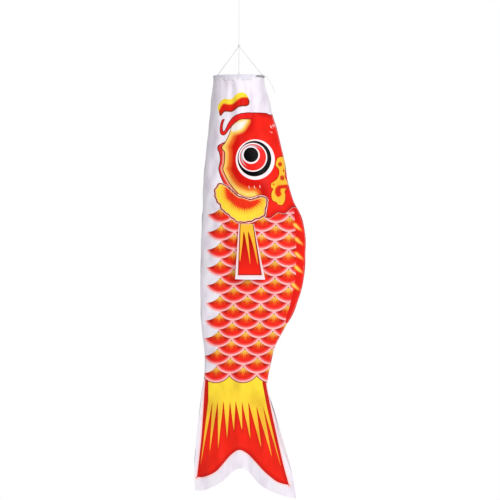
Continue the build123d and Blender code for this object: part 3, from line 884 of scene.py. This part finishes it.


# %% [markdown]
# ## Cloth materials
# Satin shines softly along its threads. The weave group gives a fine thread pattern for the
# bump, a slow variation that is painted into the colour as sheen and painted shade, and lets the
# roughness wander a little. It reads the flat coordinates of the cloth, so the threads run straight
# with the cut.

# %% Satin weave group
weave, weave_in, weave_out = new_group("satin_weave", {"Flat": VECTOR, "Strength": FLOAT},
                                       {"Normal": VECTOR, "Slub and Sheen": FLOAT, "Roughness": FLOAT})
THREADS = (2600.0, 260.0, 1.0)   # repeats in a metre, across and down
DULL_STREAKS = (60.0, 22.0, 1.0)
stretched = weave.add("ShaderNodeVectorMath", 0, {"operation": "MULTIPLY"},
                      i0=weave_in.outputs["Flat"], i1=THREADS)
threads = weave.add("ShaderNodeTexNoise", 0, None, Vector=stretched, Scale=1.0, Detail=3.0)
slow = weave.add("ShaderNodeVectorMath", 0, {"operation": "MULTIPLY"},
                 i0=weave_in.outputs["Flat"], i1=DULL_STREAKS)
slub_and_sheen = weave.add("ShaderNodeTexNoise", 0, None, Vector=slow, Scale=1.0, Detail=4.0)
crumple = weave.add("ShaderNodeTexNoise", 0, None, Vector=slow, Scale=1.7, Detail=2.0)
relief = weave.plus(weave.times(threads, 0.00004), weave.times(crumple, 0.0011))
weave.fill(weave_out.inputs["Normal"], weave.add("ShaderNodeBump", 0, None, Height=relief,
                                                 Strength=weave_in.outputs["Strength"], Distance=1.0))
# the slow noise goes to the colours as painted sheen and painted shade, and to the roughness
weave.fill(weave_out.inputs["Slub and Sheen"], slub_and_sheen)
wander = weave.add("ShaderNodeMapRange", 0, None, Value=slub_and_sheen, **{"To Min": 0.30, "To Max": 0.42})
weave.fill(weave_out.inputs["Roughness"], wander)

# %% [markdown]
# A cloth material takes its colour from a function, and everything else from the weave. The inner
# face of printed cloth shows the print through, but paler.

# %% Cloth materials
WEAVE_RELIEF = 0.35
SHOW_THROUGH = 0.5     # how much of the print is lost on the inner face


def cloth_material(name, make_colour, inner=False):
    """A satin material whose colour comes from a function of its tree and of the weave's slow noise, which
    the function may paint in as sheen.
    """
    material, tree, shader = new_material(name)
    flat = tree.add("ShaderNodeUVMap", 0, {"uv_map": "flat"})
    satin = tree.group("satin_weave", Flat=flat, Strength=WEAVE_RELIEF)
    colour = make_colour(tree, satin["Slub and Sheen"])
    if inner:
        colour = tree.mix(SHOW_THROUGH, colour, srgb(250, 232, 232))
    tree.fill(shader.inputs["Base Color"], colour)
    tree.fill(shader.inputs["Roughness"], satin["Roughness"])
    tree.fill(shader.inputs["Normal"], satin["Normal"])
    shader.inputs["Sheen Weight"].default_value = 0.01
    shader.inputs["Sheen Roughness"].default_value = 0.4
    shader.inputs["Specular IOR Level"].default_value = 0.05
    return material


def carp_colour(tree, slub_and_sheen):
    """The fish's print and its painted sheen: every value it reads is stored on the cloth, but for the
    sheen noise.
    """
    stored = {name: tree.attribute(name) for name in PRINTED[:-1]}
    return tree.group("carp_print", mottle=slub_and_sheen, **stored)["Color"]


def fin_colour(tree, slub_and_sheen):
    """The side fin: a red field with yellow rays inside its white margin."""
    field, rays = tree.attribute("fin_field"), tree.attribute("fin_rays")
    low = tree.over(tree.minus(tree.attribute("below"), 262.0), 60.0, clamp=True)
    ray_ink = tree.mix(low, srgb(252, 192, 54), srgb(252, 150, 48))
    fin_fill = tree.mix(low, srgb(158, 12, 8), srgb(243, 36, 24))
    colour = outlined(tree, WHITE, field, fin_fill, line=1.4, halo=3.0)
    colour = tree.mix(tree.times(cut(tree, rays), cut(tree, field, 0.8)), colour, ray_ink)
    return tree.mix(tree.times(slub_and_sheen, 0.08), colour, srgb(90, 20, 20))


def white_colour(tree, slub_and_sheen):
    """Plain white satin with painted sheen: greyer in streaks where it would not gleam."""
    return tree.mix(slub_and_sheen, srgb(234, 231, 240), srgb(206, 202, 214))


printed_satin = cloth_material("printed_satin", carp_colour)
printed_inside = cloth_material("printed_satin_inside", carp_colour, inner=True)
fin_satin = cloth_material("fin_satin", fin_colour)
fin_inside = cloth_material("fin_satin_inside", fin_colour, inner=True)
white_satin = cloth_material("white_satin", white_colour)

# %% [markdown]
# ## The printed sides
# Each side is made in three pieces that meet exactly: the long fore cloth, the root, and the tail
# panel. Where the tail panels begin the two sides part.

# %% Build the sides
FORE_START, FORE_END, ROOT_END = 4.0, 420.0, 500.0
TAIL_MIDDLE, TAIL_END = 676.0, 690.0           # near the middle and the end of the tail's edge
tail_edge_curve = smooth_curve(TAIL_EDGE, closed=False)


def rows_between(start, end):
    """Even rows from one height to another, in millimetres below the rim."""
    return np.linspace(start, end, max(2, int(round((end - start) / ROW_STEP))) + 1)


def laid_flat(across, bulge):
    """Where each place lies across the flat cloth: as seen from the side, but never squeezed.

    Near the edges the cloth turns away, and there the print goes on along the cloth itself."""
    steps = np.diff(across, axis=1)
    rise = np.diff(bulge, axis=1)
    along = np.maximum(steps, np.hypot(steps, rise) / 1.35)
    middle = across.shape[1] // 2
    flat = np.concatenate([across[:, :1], across[:, :1] + np.cumsum(along, axis=1)], axis=1)
    return flat - flat[:, middle:middle + 1] + across[:, middle:middle + 1]


def side_piece(name, side, start, end, to_edge=False):
    """One piece of a printed side; the last one is stretched down to the tail's wavy edge."""
    rows = rows_between(start, end)
    below = np.repeat(rows[:, None], COLUMNS + 1, axis=1)
    share = np.repeat(COLUMN_SHARES[None], len(rows), axis=0)
    if to_edge:
        edge_across = cloth_places(COLUMN_SHARES, np.full(COLUMNS + 1, TAIL_MIDDLE), side)[0]
        for _ in range(3):
            edge = np.interp(edge_across, tail_edge_curve[:, 0], tail_edge_curve[:, 1])
            edge_across = cloth_places(COLUMN_SHARES, edge, side)[0]
        down_share = (rows[:, None] - start) / (end - start)
        below = start + down_share * (edge[None] - start)
    across, depth, height = cloth_places(share, below, side)
    flat_across = laid_flat(across, bulge_at(below) * np.clip(1 - share ** 2, 0, 1) ** 0.5)
    values = print_values(flat_across.ravel(), below.ravel())
    mesh = grid_mesh(name, to_frame(across, depth, height), flat_across, below, side, values)
    piece = add_object(name, mesh)
    mesh.materials.append(printed_satin)
    mesh.materials.append(printed_inside)
    give_thickness(piece)
    return piece


for word, side in SIDES.items():
    fore = side_piece(f"{word}_printed_side", side, FORE_START, FORE_END)
    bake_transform(fore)
    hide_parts(f"{word}_fore_panel", f"{word}_waist_cloth", f"{word}_hind_panel")
    root = side_piece(f"{word}_tail_root", side, FORE_END, ROOT_END)
    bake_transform(root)
    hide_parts(f"{word}_root_cloth", f"{word}_stem_panel")
    tail = side_piece(f"{word}_tail_cloth", side, ROOT_END, TAIL_END, to_edge=True)
    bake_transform(tail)
    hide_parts(f"{word}_tail_panel")

# %% [markdown]
# ## The hem
# The top edge of the cloth is folded over the hoop and sewn down. The casing is a loop in section:
# round over the hoop, drawn together at the stitching, with a short free lip below it. It stops
# short of a full circle, and the hoop with its joining sleeve shows in the opening.

# %% Hem casing
hoop_radius = (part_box("mouth_hoop")[1][0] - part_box("mouth_hoop")[0][0]) / 2 / MM - 1.2
HEM_FROM, HEM_TO = math.radians(8), math.radians(310)
# Outward from the hoop's circle and down from the rim, in millimetres, round the casing.
HEM_SECTION = [(0.0, 0.05), (0.9, 0.25), (1.6, 0.95), (1.85, 1.9), (1.7, 3.0), (1.35, 4.4),
               (1.15, 5.8), (1.05, 7.0), (1.2, 8.2), (1.3, 9.0), (0.95, 9.05), (0.75, 8.0),
               (0.7, 7.0), (0.6, 5.6), (0.0, 4.4), (-0.7, 5.6), (-0.95, 7.0), (-1.15, 8.2),
               (-1.35, 9.0), (-1.65, 8.9), (-1.55, 7.4), (-1.45, 5.8), (-1.6, 4.2), (-1.85, 2.6),
               (-1.7, 1.2), (-0.95, 0.35)]


def hem_ripple(angle):
    """The small gathers that the hem's stitching pulls into the casing."""
    return math.sin(41 * angle + 1.2 * math.sin(5 * angle)) + 0.5 * math.sin(23 * angle + 1)


def ring_section(angle):
    """Places of the casing's section at one angle, with its gathers."""
    ripple = hem_ripple(angle)
    wave = 0.22 * math.sin(3 * angle + 0.6) + 0.12 * math.sin(11 * angle)
    places = []
    for out, drop in smooth_curve(HEM_SECTION, steps=3):
        low = min(1.0, max(0.0, (drop - 2.0) / 5.0))
        radius = hoop_radius + out + 0.24 * ripple * low * (1 if out > 0 else 0.6)
        places.append((radius * math.cos(angle), radius * math.sin(angle), drop + wave * low))
    return places


HEM_STEPS = 520
hem_rings = [ring_section(HEM_FROM + (HEM_TO - HEM_FROM) * i / HEM_STEPS) for i in range(HEM_STEPS + 1)]


def lofted(name, rings, material, closed=False):
    """A skin over equal rings of millimetre places, closed at its ends, with flat coordinates."""
    mesh = bmesh.new()
    uv = mesh.loops.layers.uv.new("flat")
    loops = [[mesh.verts.new(at(x, drop, y)) for x, y, drop in ring] for ring in rings]
    count = len(loops[0])
    pairs = list(zip(loops, loops[1:])) + ([(loops[-1], loops[0])] if closed else [])
    for row, (first, second) in enumerate(pairs):
        for i in range(count):
            j = (i + 1) % count
            face = mesh.faces.new((first[i], first[j], second[j], second[i]))
            face.smooth = True
            for loop, (u, v) in zip(face.loops, ((row, i), (row, i + 1), (row + 1, i + 1), (row + 1, i))):
                loop[uv].uv = (u * 0.0005, v * 0.0007)
    if not closed:
        mesh.faces.new(loops[0][::-1])
        mesh.faces.new(loops[-1])
    bmesh.ops.recalc_face_normals(mesh, faces=mesh.faces[:])
    data = bpy.data.meshes.new(name)
    mesh.to_mesh(data)
    mesh.free()
    data.materials.append(material)
    return add_object(name, data)


hem = lofted("hem_casing", hem_rings, white_satin)
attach(hem, "forebody")
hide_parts("mouth_hem")
print("hem", len(hem.data.polygons), "faces")

# %% [markdown]
# ## The side fins
# Each fin is one flat piece of printed cloth with a white margin, sewn on along its top edge and
# free below, where it curls a little away from the body.

# %% Fins
fin_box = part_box("left_fin")
fin_top, fin_bottom = down(fin_box[1][2]), down(fin_box[0][2])
fin_depth_mm = abs(fin_box[0][1] + fin_box[1][1]) / 2 / MM
FIN_TOP_EDGE, FIN_BOTTOM_EDGE = (-0.2, 24.5), (-6.2, 43.0)


def fin_piece(word, side):
    """One side fin: a tapered sheet that leans out a little, curls and sags."""
    rows, columns = ((92, 46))
    drop = np.repeat(np.linspace(0, 1, rows + 1)[:, None], columns + 1, axis=1)
    share = np.repeat(np.linspace(0, 1, columns + 1)[None], rows + 1, axis=0)
    left = FIN_TOP_EDGE[0] + (FIN_BOTTOM_EDGE[0] - FIN_TOP_EDGE[0]) * drop
    right = FIN_TOP_EDGE[1] + (FIN_BOTTOM_EDGE[1] - FIN_TOP_EDGE[1]) * drop
    across = left + share * (right - left)
    sag = 2.2 * (share - 0.5) + 0.8 * np.sin(3 * share + 1)
    below = fin_top + drop * (fin_bottom - fin_top) + drop * sag * 0.9 - 1.5 * drop ** 3
    curl = 1.1 * drop * np.sin(5.2 * share + 0.8) + 0.8 * drop ** 2
    curl = curl + 0.5 * drop * np.sin(7 * drop + 3 * share)
    depth = side * (fin_depth_mm + 0.15 + np.maximum(curl, -0.4 * drop))
    places = np.stack([across.ravel(), below.ravel()], -1)
    values = {"below": below, "fin_field": signed_distance(places, SIDE_FIN, smooth=False),
              "fin_rays": signed_distance(places, FIN_RAYS)}
    points = to_frame(across, depth, below)
    mesh = grid_mesh(f"{word}_fin_cloth", points, across, below, side, values)
    piece = add_object(f"{word}_fin_cloth", mesh)
    mesh.materials.append(fin_satin)
    mesh.materials.append(fin_inside)
    give_thickness(piece)
    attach(piece, f"{word}_fin")
    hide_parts(f"{word}_fin")
    return piece


fins = {word: fin_piece(word, side) for word, side in SIDES.items()}
print("fin from", round(fin_top, 1), "to", round(fin_bottom, 1), "mm below the rim")

# %% [markdown]
# ## Cord and thread
# All cords follow a drawn route, a smooth NURBS curve. A plied cord is three strands twisted
# together, so its section is a rounded three-lobed shape that turns as it goes along. The knots
# are short lengths of the same cord tied in a trefoil.

# %% Cord material
cord_finish, cord_tree, cord_shader = new_material("white_cord")
cord_places = cord_tree.add("ShaderNodeTexCoord", "Object")
fuzz = cord_tree.add("ShaderNodeTexNoise", 0, None, Vector=cord_places, Scale=900.0, Detail=3.0)
cord_tree.fill(cord_shader.inputs["Base Color"],
               cord_tree.mix(fuzz, srgb(205, 203, 208), srgb(250, 249, 250)))
cord_tree.fill(cord_shader.inputs["Normal"],
               cord_tree.add("ShaderNodeBump", 0, None, Height=fuzz, Strength=0.4, Distance=0.0002))
cord_shader.inputs["Roughness"].default_value = 0.72
cord_shader.inputs["Sheen Weight"].default_value = 0.3

# %% [markdown]
# A route is drawn as a NURBS curve through a few control points. We read it back as points close
# together, an even step apart, so that the twist of the cord is even too.

# %% Drawn routes


def route(name, points_mm):
    """Points in metres, close together, along the NURBS route through the control points."""
    data = bpy.data.curves.new(name, "CURVE")
    data.dimensions = "3D"
    data.resolution_u = 24
    spline = data.splines.new("NURBS")
    spline.points.add(len(points_mm) - 1)
    for point, (x, y, z) in zip(spline.points, points_mm):
        point.co = (x * MM, y * MM, z * MM, 1)
    spline.order_u = min(3, len(points_mm))
    spline.use_endpoint_u = True
    drawn = bpy.data.objects.new(name, data)
    bpy.context.scene.collection.objects.link(drawn)
    line = bpy.data.meshes.new_from_object(drawn.evaluated_get(bpy.context.evaluated_depsgraph_get()))
    points = [vertex.co.copy() for vertex in line.vertices]
    bpy.data.objects.remove(drawn)
    bpy.data.meshes.remove(line)
    return points


def even_points(points, step, closed=False):
    """The same line with points a step apart, so that the twist of the cord is even."""
    if closed:
        points = points + points[:1]
    lengths = np.cumsum([0] + [(b - a).length for a, b in zip(points, points[1:])])
    count = max(8, int(lengths[-1] / step))
    wanted = np.linspace(0, lengths[-1], count + 1)
    array = np.array([tuple(p) for p in points])
    even = np.stack([np.interp(wanted, lengths, array[:, i]) for i in range(3)], -1)
    return [Vector(p) for p in (even[:-1] if closed else even)], lengths[-1]


# %% [markdown]
# The cord follows the points. At each one we set a ring, turned a little further than the last, and
# its radius dips three times round, which makes the three strands.

# %% Plied cord


def plied_cord(name, points, diameter, closed=False, pitch=3.2, sides=12, step=0.45, taper=False):
    """A twisted three-strand cord along points in metres; diameter and pitch in millimetres."""
    points, length = even_points(points, step * MM, closed)
    mesh = bmesh.new()
    normal = (points[1] - points[0]).orthogonal().normalized()
    rings = []
    count = len(points)
    for number, point in enumerate(points):
        if closed:
            along = (points[(number + 1) % count] - points[number - 1]).normalized()
        else:
            along = (points[min(number + 1, count - 1)] - points[max(number - 1, 0)]).normalized()
        normal = (normal - along * normal.dot(along)).normalized()
        second = along.cross(normal)
        turn = 2 * math.pi * (number * length / count / MM) / pitch
        ring = []
        for i in range(sides):
            angle = 2 * math.pi * i / sides
            lobe = 1 - 0.15 * (1 - abs(math.cos(1.5 * (angle - turn)))) ** 1.5 * 2
            radius = diameter / 2 * MM * lobe
            if taper and number > count - 4:
                radius *= 1 + 0.35 * (number - count + 4) / 3
            outward = math.cos(angle) * normal + math.sin(angle) * second
            ring.append(mesh.verts.new(point + radius * outward))
        rings.append(ring)
    for first, after in list(zip(rings, rings[1:])) + ([(rings[-1], rings[0])] if closed else []):
        for i in range(sides):
            j = (i + 1) % sides
            mesh.faces.new((first[i], first[j], after[j], after[i])).smooth = True
    if not closed:
        mesh.faces.new(rings[0][::-1])
        mesh.faces.new(rings[-1])
    bmesh.ops.recalc_face_normals(mesh, faces=mesh.faces[:])
    data = bpy.data.meshes.new(name)
    mesh.to_mesh(data)
    mesh.free()
    data.materials.append(cord_finish)
    return add_object(name, data)


# %% [markdown]
# Each cord is given its route, its body, and the plain piece it takes the place of.

# %% Hang the cords
CORD = 1.0
gather_z = (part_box("gather_knot")[0][2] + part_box("gather_knot")[1][2]) / 2 / MM
rim_mm = rim_z / MM
loop_route = [(-0.7, 0, -20), (-3.5, 0, -9.5), (-3.5, 0, 0.5), (3.5, 0, 0.5), (3.5, 0, -9.5), (0.7, 0, -20)]
line_route = [(0, 0, -27), (0.05, 0, -50), (-0.05, 0, -80), (0, 0, -106.5)]


def hung_cord(name, points_mm, body, node):
    """A cord along a route, on its body, in place of its plain node."""
    points = route(name, points_mm)
    piece = plied_cord(name, points, CORD)
    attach(piece, body)
    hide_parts(node)
    return piece


hung_cord("hanging_cord_loop", loop_route, "hanger", "hanging_loop")
hung_cord("hanging_cord", line_route, "line", "hang_line")
feet = {"front": (0.0, -41.0), "back": (38.53, 14.02), "belly": (-35.51, 20.5)}
for word, (x, y) in feet.items():
    foot = Vector((x, y, rim_mm + 1.6))
    top = Vector((0, 0, gather_z))
    start = top + (foot - top).normalized() * 3.25
    middle = (start + foot) / 2 + Vector((0, 0, -0.25))
    hung_cord(f"{word}_bridle_cord", [tuple(start), tuple(middle), tuple(foot)], "forebody",
              f"{word}_bridle_leg")
tail_route = [(40.03, 14.02, -156.4), (46.83, 12.82, -159.6), (50.93, 11.42, -166.8),
              (55.53, 10.42, -175.6), (59.33, 9.42, -184.6)]
hung_cord("loose_cord_end", tail_route, "forebody", "knot_tail")

# %% [markdown]
# A trefoil knot is one closed line given by sines and cosines. Drawn small in cord it looks like
# any overhand knot pulled tight. Under each bridle knot a ring of cord goes through the casing.

# %% Knots


def trefoil(centre, size, tilt):
    """Points in metres of a trefoil of this outer radius, turned by tilt degrees."""
    turn = Matrix.Rotation(math.radians(tilt), 3, "X") @ Matrix.Rotation(math.radians(tilt / 2), 3, "Z")
    points = []
    for i in range(90):
        t = 2 * math.pi * i / 90
        place = Vector((math.sin(t) + 2 * math.sin(2 * t), math.cos(t) - 2 * math.cos(2 * t),
                        -1.5 * math.sin(3 * t)))
        points.append((Vector(centre) + turn @ place * (size / 3)) * MM)
    return points


def joined(name, parts):
    """One object from several."""
    bpy.ops.object.select_all(action="DESELECT")
    for part in parts:
        part.select_set(True)
    bpy.context.view_layer.objects.active = parts[0]
    bpy.ops.object.join()
    parts[0].name = name
    return parts[0]


loop_knot = joined("loop_knot_cord", [
    plied_cord("knot_a", trefoil((0, 0, -22.2), 1.5, 70), 0.85, closed=True, step=0.3),
    plied_cord("knot_b", trefoil((0, 0, -24.2), 1.35, 110), 0.85, closed=True, step=0.3),
    plied_cord("knot_c", [Vector((-0.7, 0, -19.5)) * MM, Vector((-0.2, 0.2, -23)) * MM,
                          Vector((0, 0, -27.2)) * MM], 0.95, step=0.3)])
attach(loop_knot, "hanger")
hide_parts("loop_knot")
gather_knot = joined("gather_knot_cord", [
    plied_cord("knot_a", trefoil((0, 0, gather_z + 0.7), 1.9, 75), 0.9, closed=True, step=0.3),
    plied_cord("knot_b", trefoil((0, 0, gather_z - 0.8), 1.7, 105), 0.9, closed=True, step=0.3),
    plied_cord("knot_c", [Vector((0, 0, gather_z + 2.8)) * MM, Vector((0.2, 0.1, gather_z)) * MM,
                          Vector((0, -0.6, gather_z - 2.2)) * MM], 1.0, step=0.3)])
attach(gather_knot, "knot")
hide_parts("gather_knot")

ties = []
for word, (x, y) in feet.items():
    ties.append(plied_cord("tie", trefoil((x, y, rim_mm + 1.7), 1.35, 80), 0.8, closed=True, step=0.3))
    outward = Vector((x, y, 0)).normalized()
    ring = []
    for i in range(40):
        angle = 2 * math.pi * i / 40
        ring.append((Vector((x, y, rim_mm - 2.1)) + outward * 2.35 * math.cos(angle)
                     + Vector((0, 0, 2.9 * math.sin(angle)))) * MM)
    ties.append(plied_cord("tie", ring, 0.8, closed=True, step=0.3))
ties = joined("bridle_ties", ties)
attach(ties, "forebody")
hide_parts("bridle_knots")

# %% [markdown]
# ## Stitches
# A seam is the same small stitch again and again, which is work for Geometry Nodes. We place a
# point for each stitch and store which way it lies. The node tree puts a rounded thread shape on
# every point, turns it, and gives it the thread's material.

# %% Stitch tree
thread_finish, thread_tree, thread_shader = new_material("white_thread")
thread_noise = thread_tree.add("ShaderNodeTexNoise", 0, None, Scale=1500.0, Detail=2.0,
                               Vector=thread_tree.add("ShaderNodeTexCoord", "Object"))
thread_tree.fill(thread_shader.inputs["Base Color"],
                 thread_tree.mix(thread_noise, srgb(212, 208, 217), srgb(242, 240, 246)))
thread_shader.inputs["Roughness"].default_value = 0.6

stitch_tree = bpy.data.node_groups.new("row_of_stitches", "GeometryNodeTree")
stitch_tree.interface.new_socket("Geometry", in_out="INPUT", socket_type="NodeSocketGeometry")
for socket_name, start_value in (("Stitch Length", 0.002), ("Thread", 0.0005)):
    stitch_tree.interface.new_socket(socket_name, in_out="INPUT",
                                     socket_type="NodeSocketFloat").default_value = start_value
stitch_tree.interface.new_socket("Material", in_out="INPUT", socket_type="NodeSocketMaterial")
stitch_tree.interface.new_socket("Geometry", in_out="OUTPUT", socket_type="NodeSocketGeometry")
nodes = Tree(stitch_tree)
tree_in = stitch_tree.nodes.new("NodeGroupInput")
tree_out = stitch_tree.nodes.new("NodeGroupOutput")
ball = nodes.add("GeometryNodeMeshUVSphere", "Mesh", None, Segments=8, Rings=5, Radius=0.5)
stitch_size = nodes.add("ShaderNodeCombineXYZ", 0, None, X=tree_in.outputs["Stitch Length"],
                        Y=tree_in.outputs["Thread"], Z=tree_in.outputs["Thread"])
lie = nodes.add("GeometryNodeInputNamedAttribute", "Attribute", {"data_type": "FLOAT_VECTOR"}, Name="lie")
facing = nodes.add("GeometryNodeInputNamedAttribute", "Attribute", {"data_type": "FLOAT_VECTOR"},
                   Name="facing")
turned = nodes.add("FunctionNodeAlignRotationToVector", "Rotation", {"axis": "X"}, Vector=lie)
faced = nodes.add("FunctionNodeAlignRotationToVector", "Rotation", {"axis": "Z", "pivot_axis": "X"},
                  Rotation=turned, Vector=facing)
as_points = nodes.add("GeometryNodeMeshToPoints", "Points", None, Mesh=tree_in.outputs["Geometry"])
placed = nodes.add("GeometryNodeInstanceOnPoints", "Instances", None, Points=as_points, Instance=ball,
                   Rotation=faced, Scale=stitch_size)
real = nodes.add("GeometryNodeRealizeInstances", "Geometry", None, Geometry=placed)
painted = nodes.add("GeometryNodeSetMaterial", "Geometry", None, Geometry=real,
                    Material=tree_in.outputs["Material"])
nodes.fill(tree_out.inputs["Geometry"], painted)


def stitch_row(name, places, length_mm=2.1, thread_mm=0.5):
    """A mesh object with one stitch at each (point, direction, facing), all in metres."""
    mesh = bpy.data.meshes.new(name)
    mesh.from_pydata([tuple(p) for p, _, _ in places], [], [])
    for key, number in (("lie", 1), ("facing", 2)):
        layer = mesh.attributes.new(key, "FLOAT_VECTOR", "POINT")
        layer.data.foreach_set("vector", np.array([tuple(place[number]) for place in places],
                                                  np.float32).ravel())
    row = add_object(name, mesh)
    modifier = row.modifiers.new("stitches", "NODES")
    modifier.node_group = stitch_tree
    values = {"Stitch Length": length_mm * MM, "Thread": thread_mm * MM, "Material": thread_finish}
    for item in stitch_tree.interface.items_tree:
        if item.in_out == "INPUT" and item.name in values:
            modifier[item.identifier] = values[item.name]
    evaluated = row.evaluated_get(bpy.context.evaluated_depsgraph_get())
    finished = bpy.data.meshes.new_from_object(evaluated)
    row.modifiers.clear()
    row.data = finished
    bpy.data.meshes.remove(mesh)
    finished.polygons.foreach_set("use_smooth", [True] * len(finished.polygons))
    print(name, len(places), "stitches", len(finished.polygons), "faces")
    return row


# %% [markdown]
# Now the rows themselves: one down each edge of the body on both faces, one round the hem where
# the casing is sewn down, and a short one that holds the top edge of each fin.

# %% Rows of stitches
STITCH = 2.9


def edge_stitches(start, end, share_side, sides=(LEFT, RIGHT), inset=1.5):
    """Stitches down one edge, on both faces of the cloth."""
    places = []
    for side in sides:
        below = np.arange(start + STITCH / 2, end, STITCH)
        edge = belly_edge(below) if share_side < 0 else inner_back(below, side)
        share = share_of(edge - np.sign(share_side) * inset, below, side)
        here = to_frame(*cloth_places(share, below, side, 0.12))
        ahead = to_frame(*cloth_places(share, below + 0.6, side, 0.12))
        inward = share - np.sign(share_side) * 0.02
        beside = to_frame(*cloth_places(inward, below, side, 0.12))
        facing = np.cross(ahead - here, beside - here)
        facing *= np.sign(facing[:, 1:2]) * side
        places += [(p, q - p, f) for p, q, f in zip(here, ahead, facing)]
    return places


HEM_SEAM_RADIUS, HEM_SEAM_DOWN = 43.0, 7.3


def hem_stitches():
    """Stitches round the casing, outside and inside, but for the opening at the sleeve."""
    places = []
    for i in range(int(2 * math.pi * HEM_SEAM_RADIUS / STITCH)):
        angle = i * STITCH / HEM_SEAM_RADIUS
        turned_angle = angle if angle < math.pi else angle - 2 * math.pi
        if HEM_TO - 2 * math.pi - 0.03 < turned_angle < HEM_FROM + 0.03:
            continue
        away = Vector((math.cos(angle), math.sin(angle), 0))
        for face_radius, out in ((hoop_radius + 1.22, 1), (hoop_radius - 1.42, -1)):
            radius = face_radius + 0.2 * hem_ripple(angle) * out
            place = at(radius * away.x, HEM_SEAM_DOWN, radius * away.y)
            places.append((place, Vector((-away.y, away.x, 0)), away * out))
    return places


hem_row = stitch_row("hem_stitches", hem_stitches())
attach(hem_row, "forebody")
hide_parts("hem_seam")
fore_places = edge_stitches(11, FORE_END, -1) + edge_stitches(11, FORE_END, 1)
fore_row = stitch_row("body_edge_stitches", fore_places, 1.9, 0.38)
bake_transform(fore_row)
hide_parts("fore_belly_seam", "fore_back_seam", "hind_belly_seam", "hind_back_seam")
root_places = edge_stitches(FORE_END, 526, -1) + edge_stitches(FORE_END, 526, 1)
root_row = stitch_row("root_edge_stitches", root_places, 1.9, 0.38)
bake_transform(root_row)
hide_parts("stem_belly_seam", "stem_back_seam")

for word, side in SIDES.items():
    places = []
    for x in np.arange(1.0, 24.0, 2.5):
        place = at(x, fin_top + 1.8, side * (fin_depth_mm + 0.25))
        places.append((place, Vector((1, 0, 0)), Vector((0, side, 0))))
    fin_row = stitch_row(f"{word}_fin_stitches", places, 1.9)
    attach(fin_row, "forebody")
    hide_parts(f"{word}_fin_seam")

# %% [markdown]
# ## Hoop and sleeve
# The hoop and its joining sleeve are good enough as solids. They only need a finish of their own:
# smooth white coated wire, and a grey drawn sleeve with fine scratches round it.

# %% Finishes of the hoop


def plain_finish(name, low, high, roughness, scale, stretch=(1, 1, 1)):
    """A solid's finish: a fine grain between two colours, with a little relief."""
    finish, tree, shader = new_material(name)
    where = tree.add("ShaderNodeVectorMath", 0, {"operation": "MULTIPLY"},
                     i0=tree.add("ShaderNodeTexCoord", "Object"), i1=stretch)
    grain = tree.add("ShaderNodeTexNoise", 0, None, Vector=where, Scale=scale, Detail=5.0)
    tree.fill(shader.inputs["Base Color"], tree.mix(grain, low, high))
    tree.fill(shader.inputs["Normal"], tree.add("ShaderNodeBump", 0, None, Height=grain,
                                                Strength=0.25, Distance=0.0001))
    shader.inputs["Roughness"].default_value = roughness
    return finish


wire_finish = plain_finish("coated_wire", srgb(214, 212, 208), srgb(240, 239, 236), 0.35, 700.0)
sleeve_finish = plain_finish("drawn_sleeve", srgb(128, 128, 130), srgb(178, 177, 179), 0.42, 400.0,
                             (1, 1, 6))
for node, finish in (("mouth_hoop", wire_finish), ("hoop_ferrule", sleeve_finish)):
    solid = bpy.data.objects[node]
    for material_slot in solid.material_slots:
        material_slot.material = finish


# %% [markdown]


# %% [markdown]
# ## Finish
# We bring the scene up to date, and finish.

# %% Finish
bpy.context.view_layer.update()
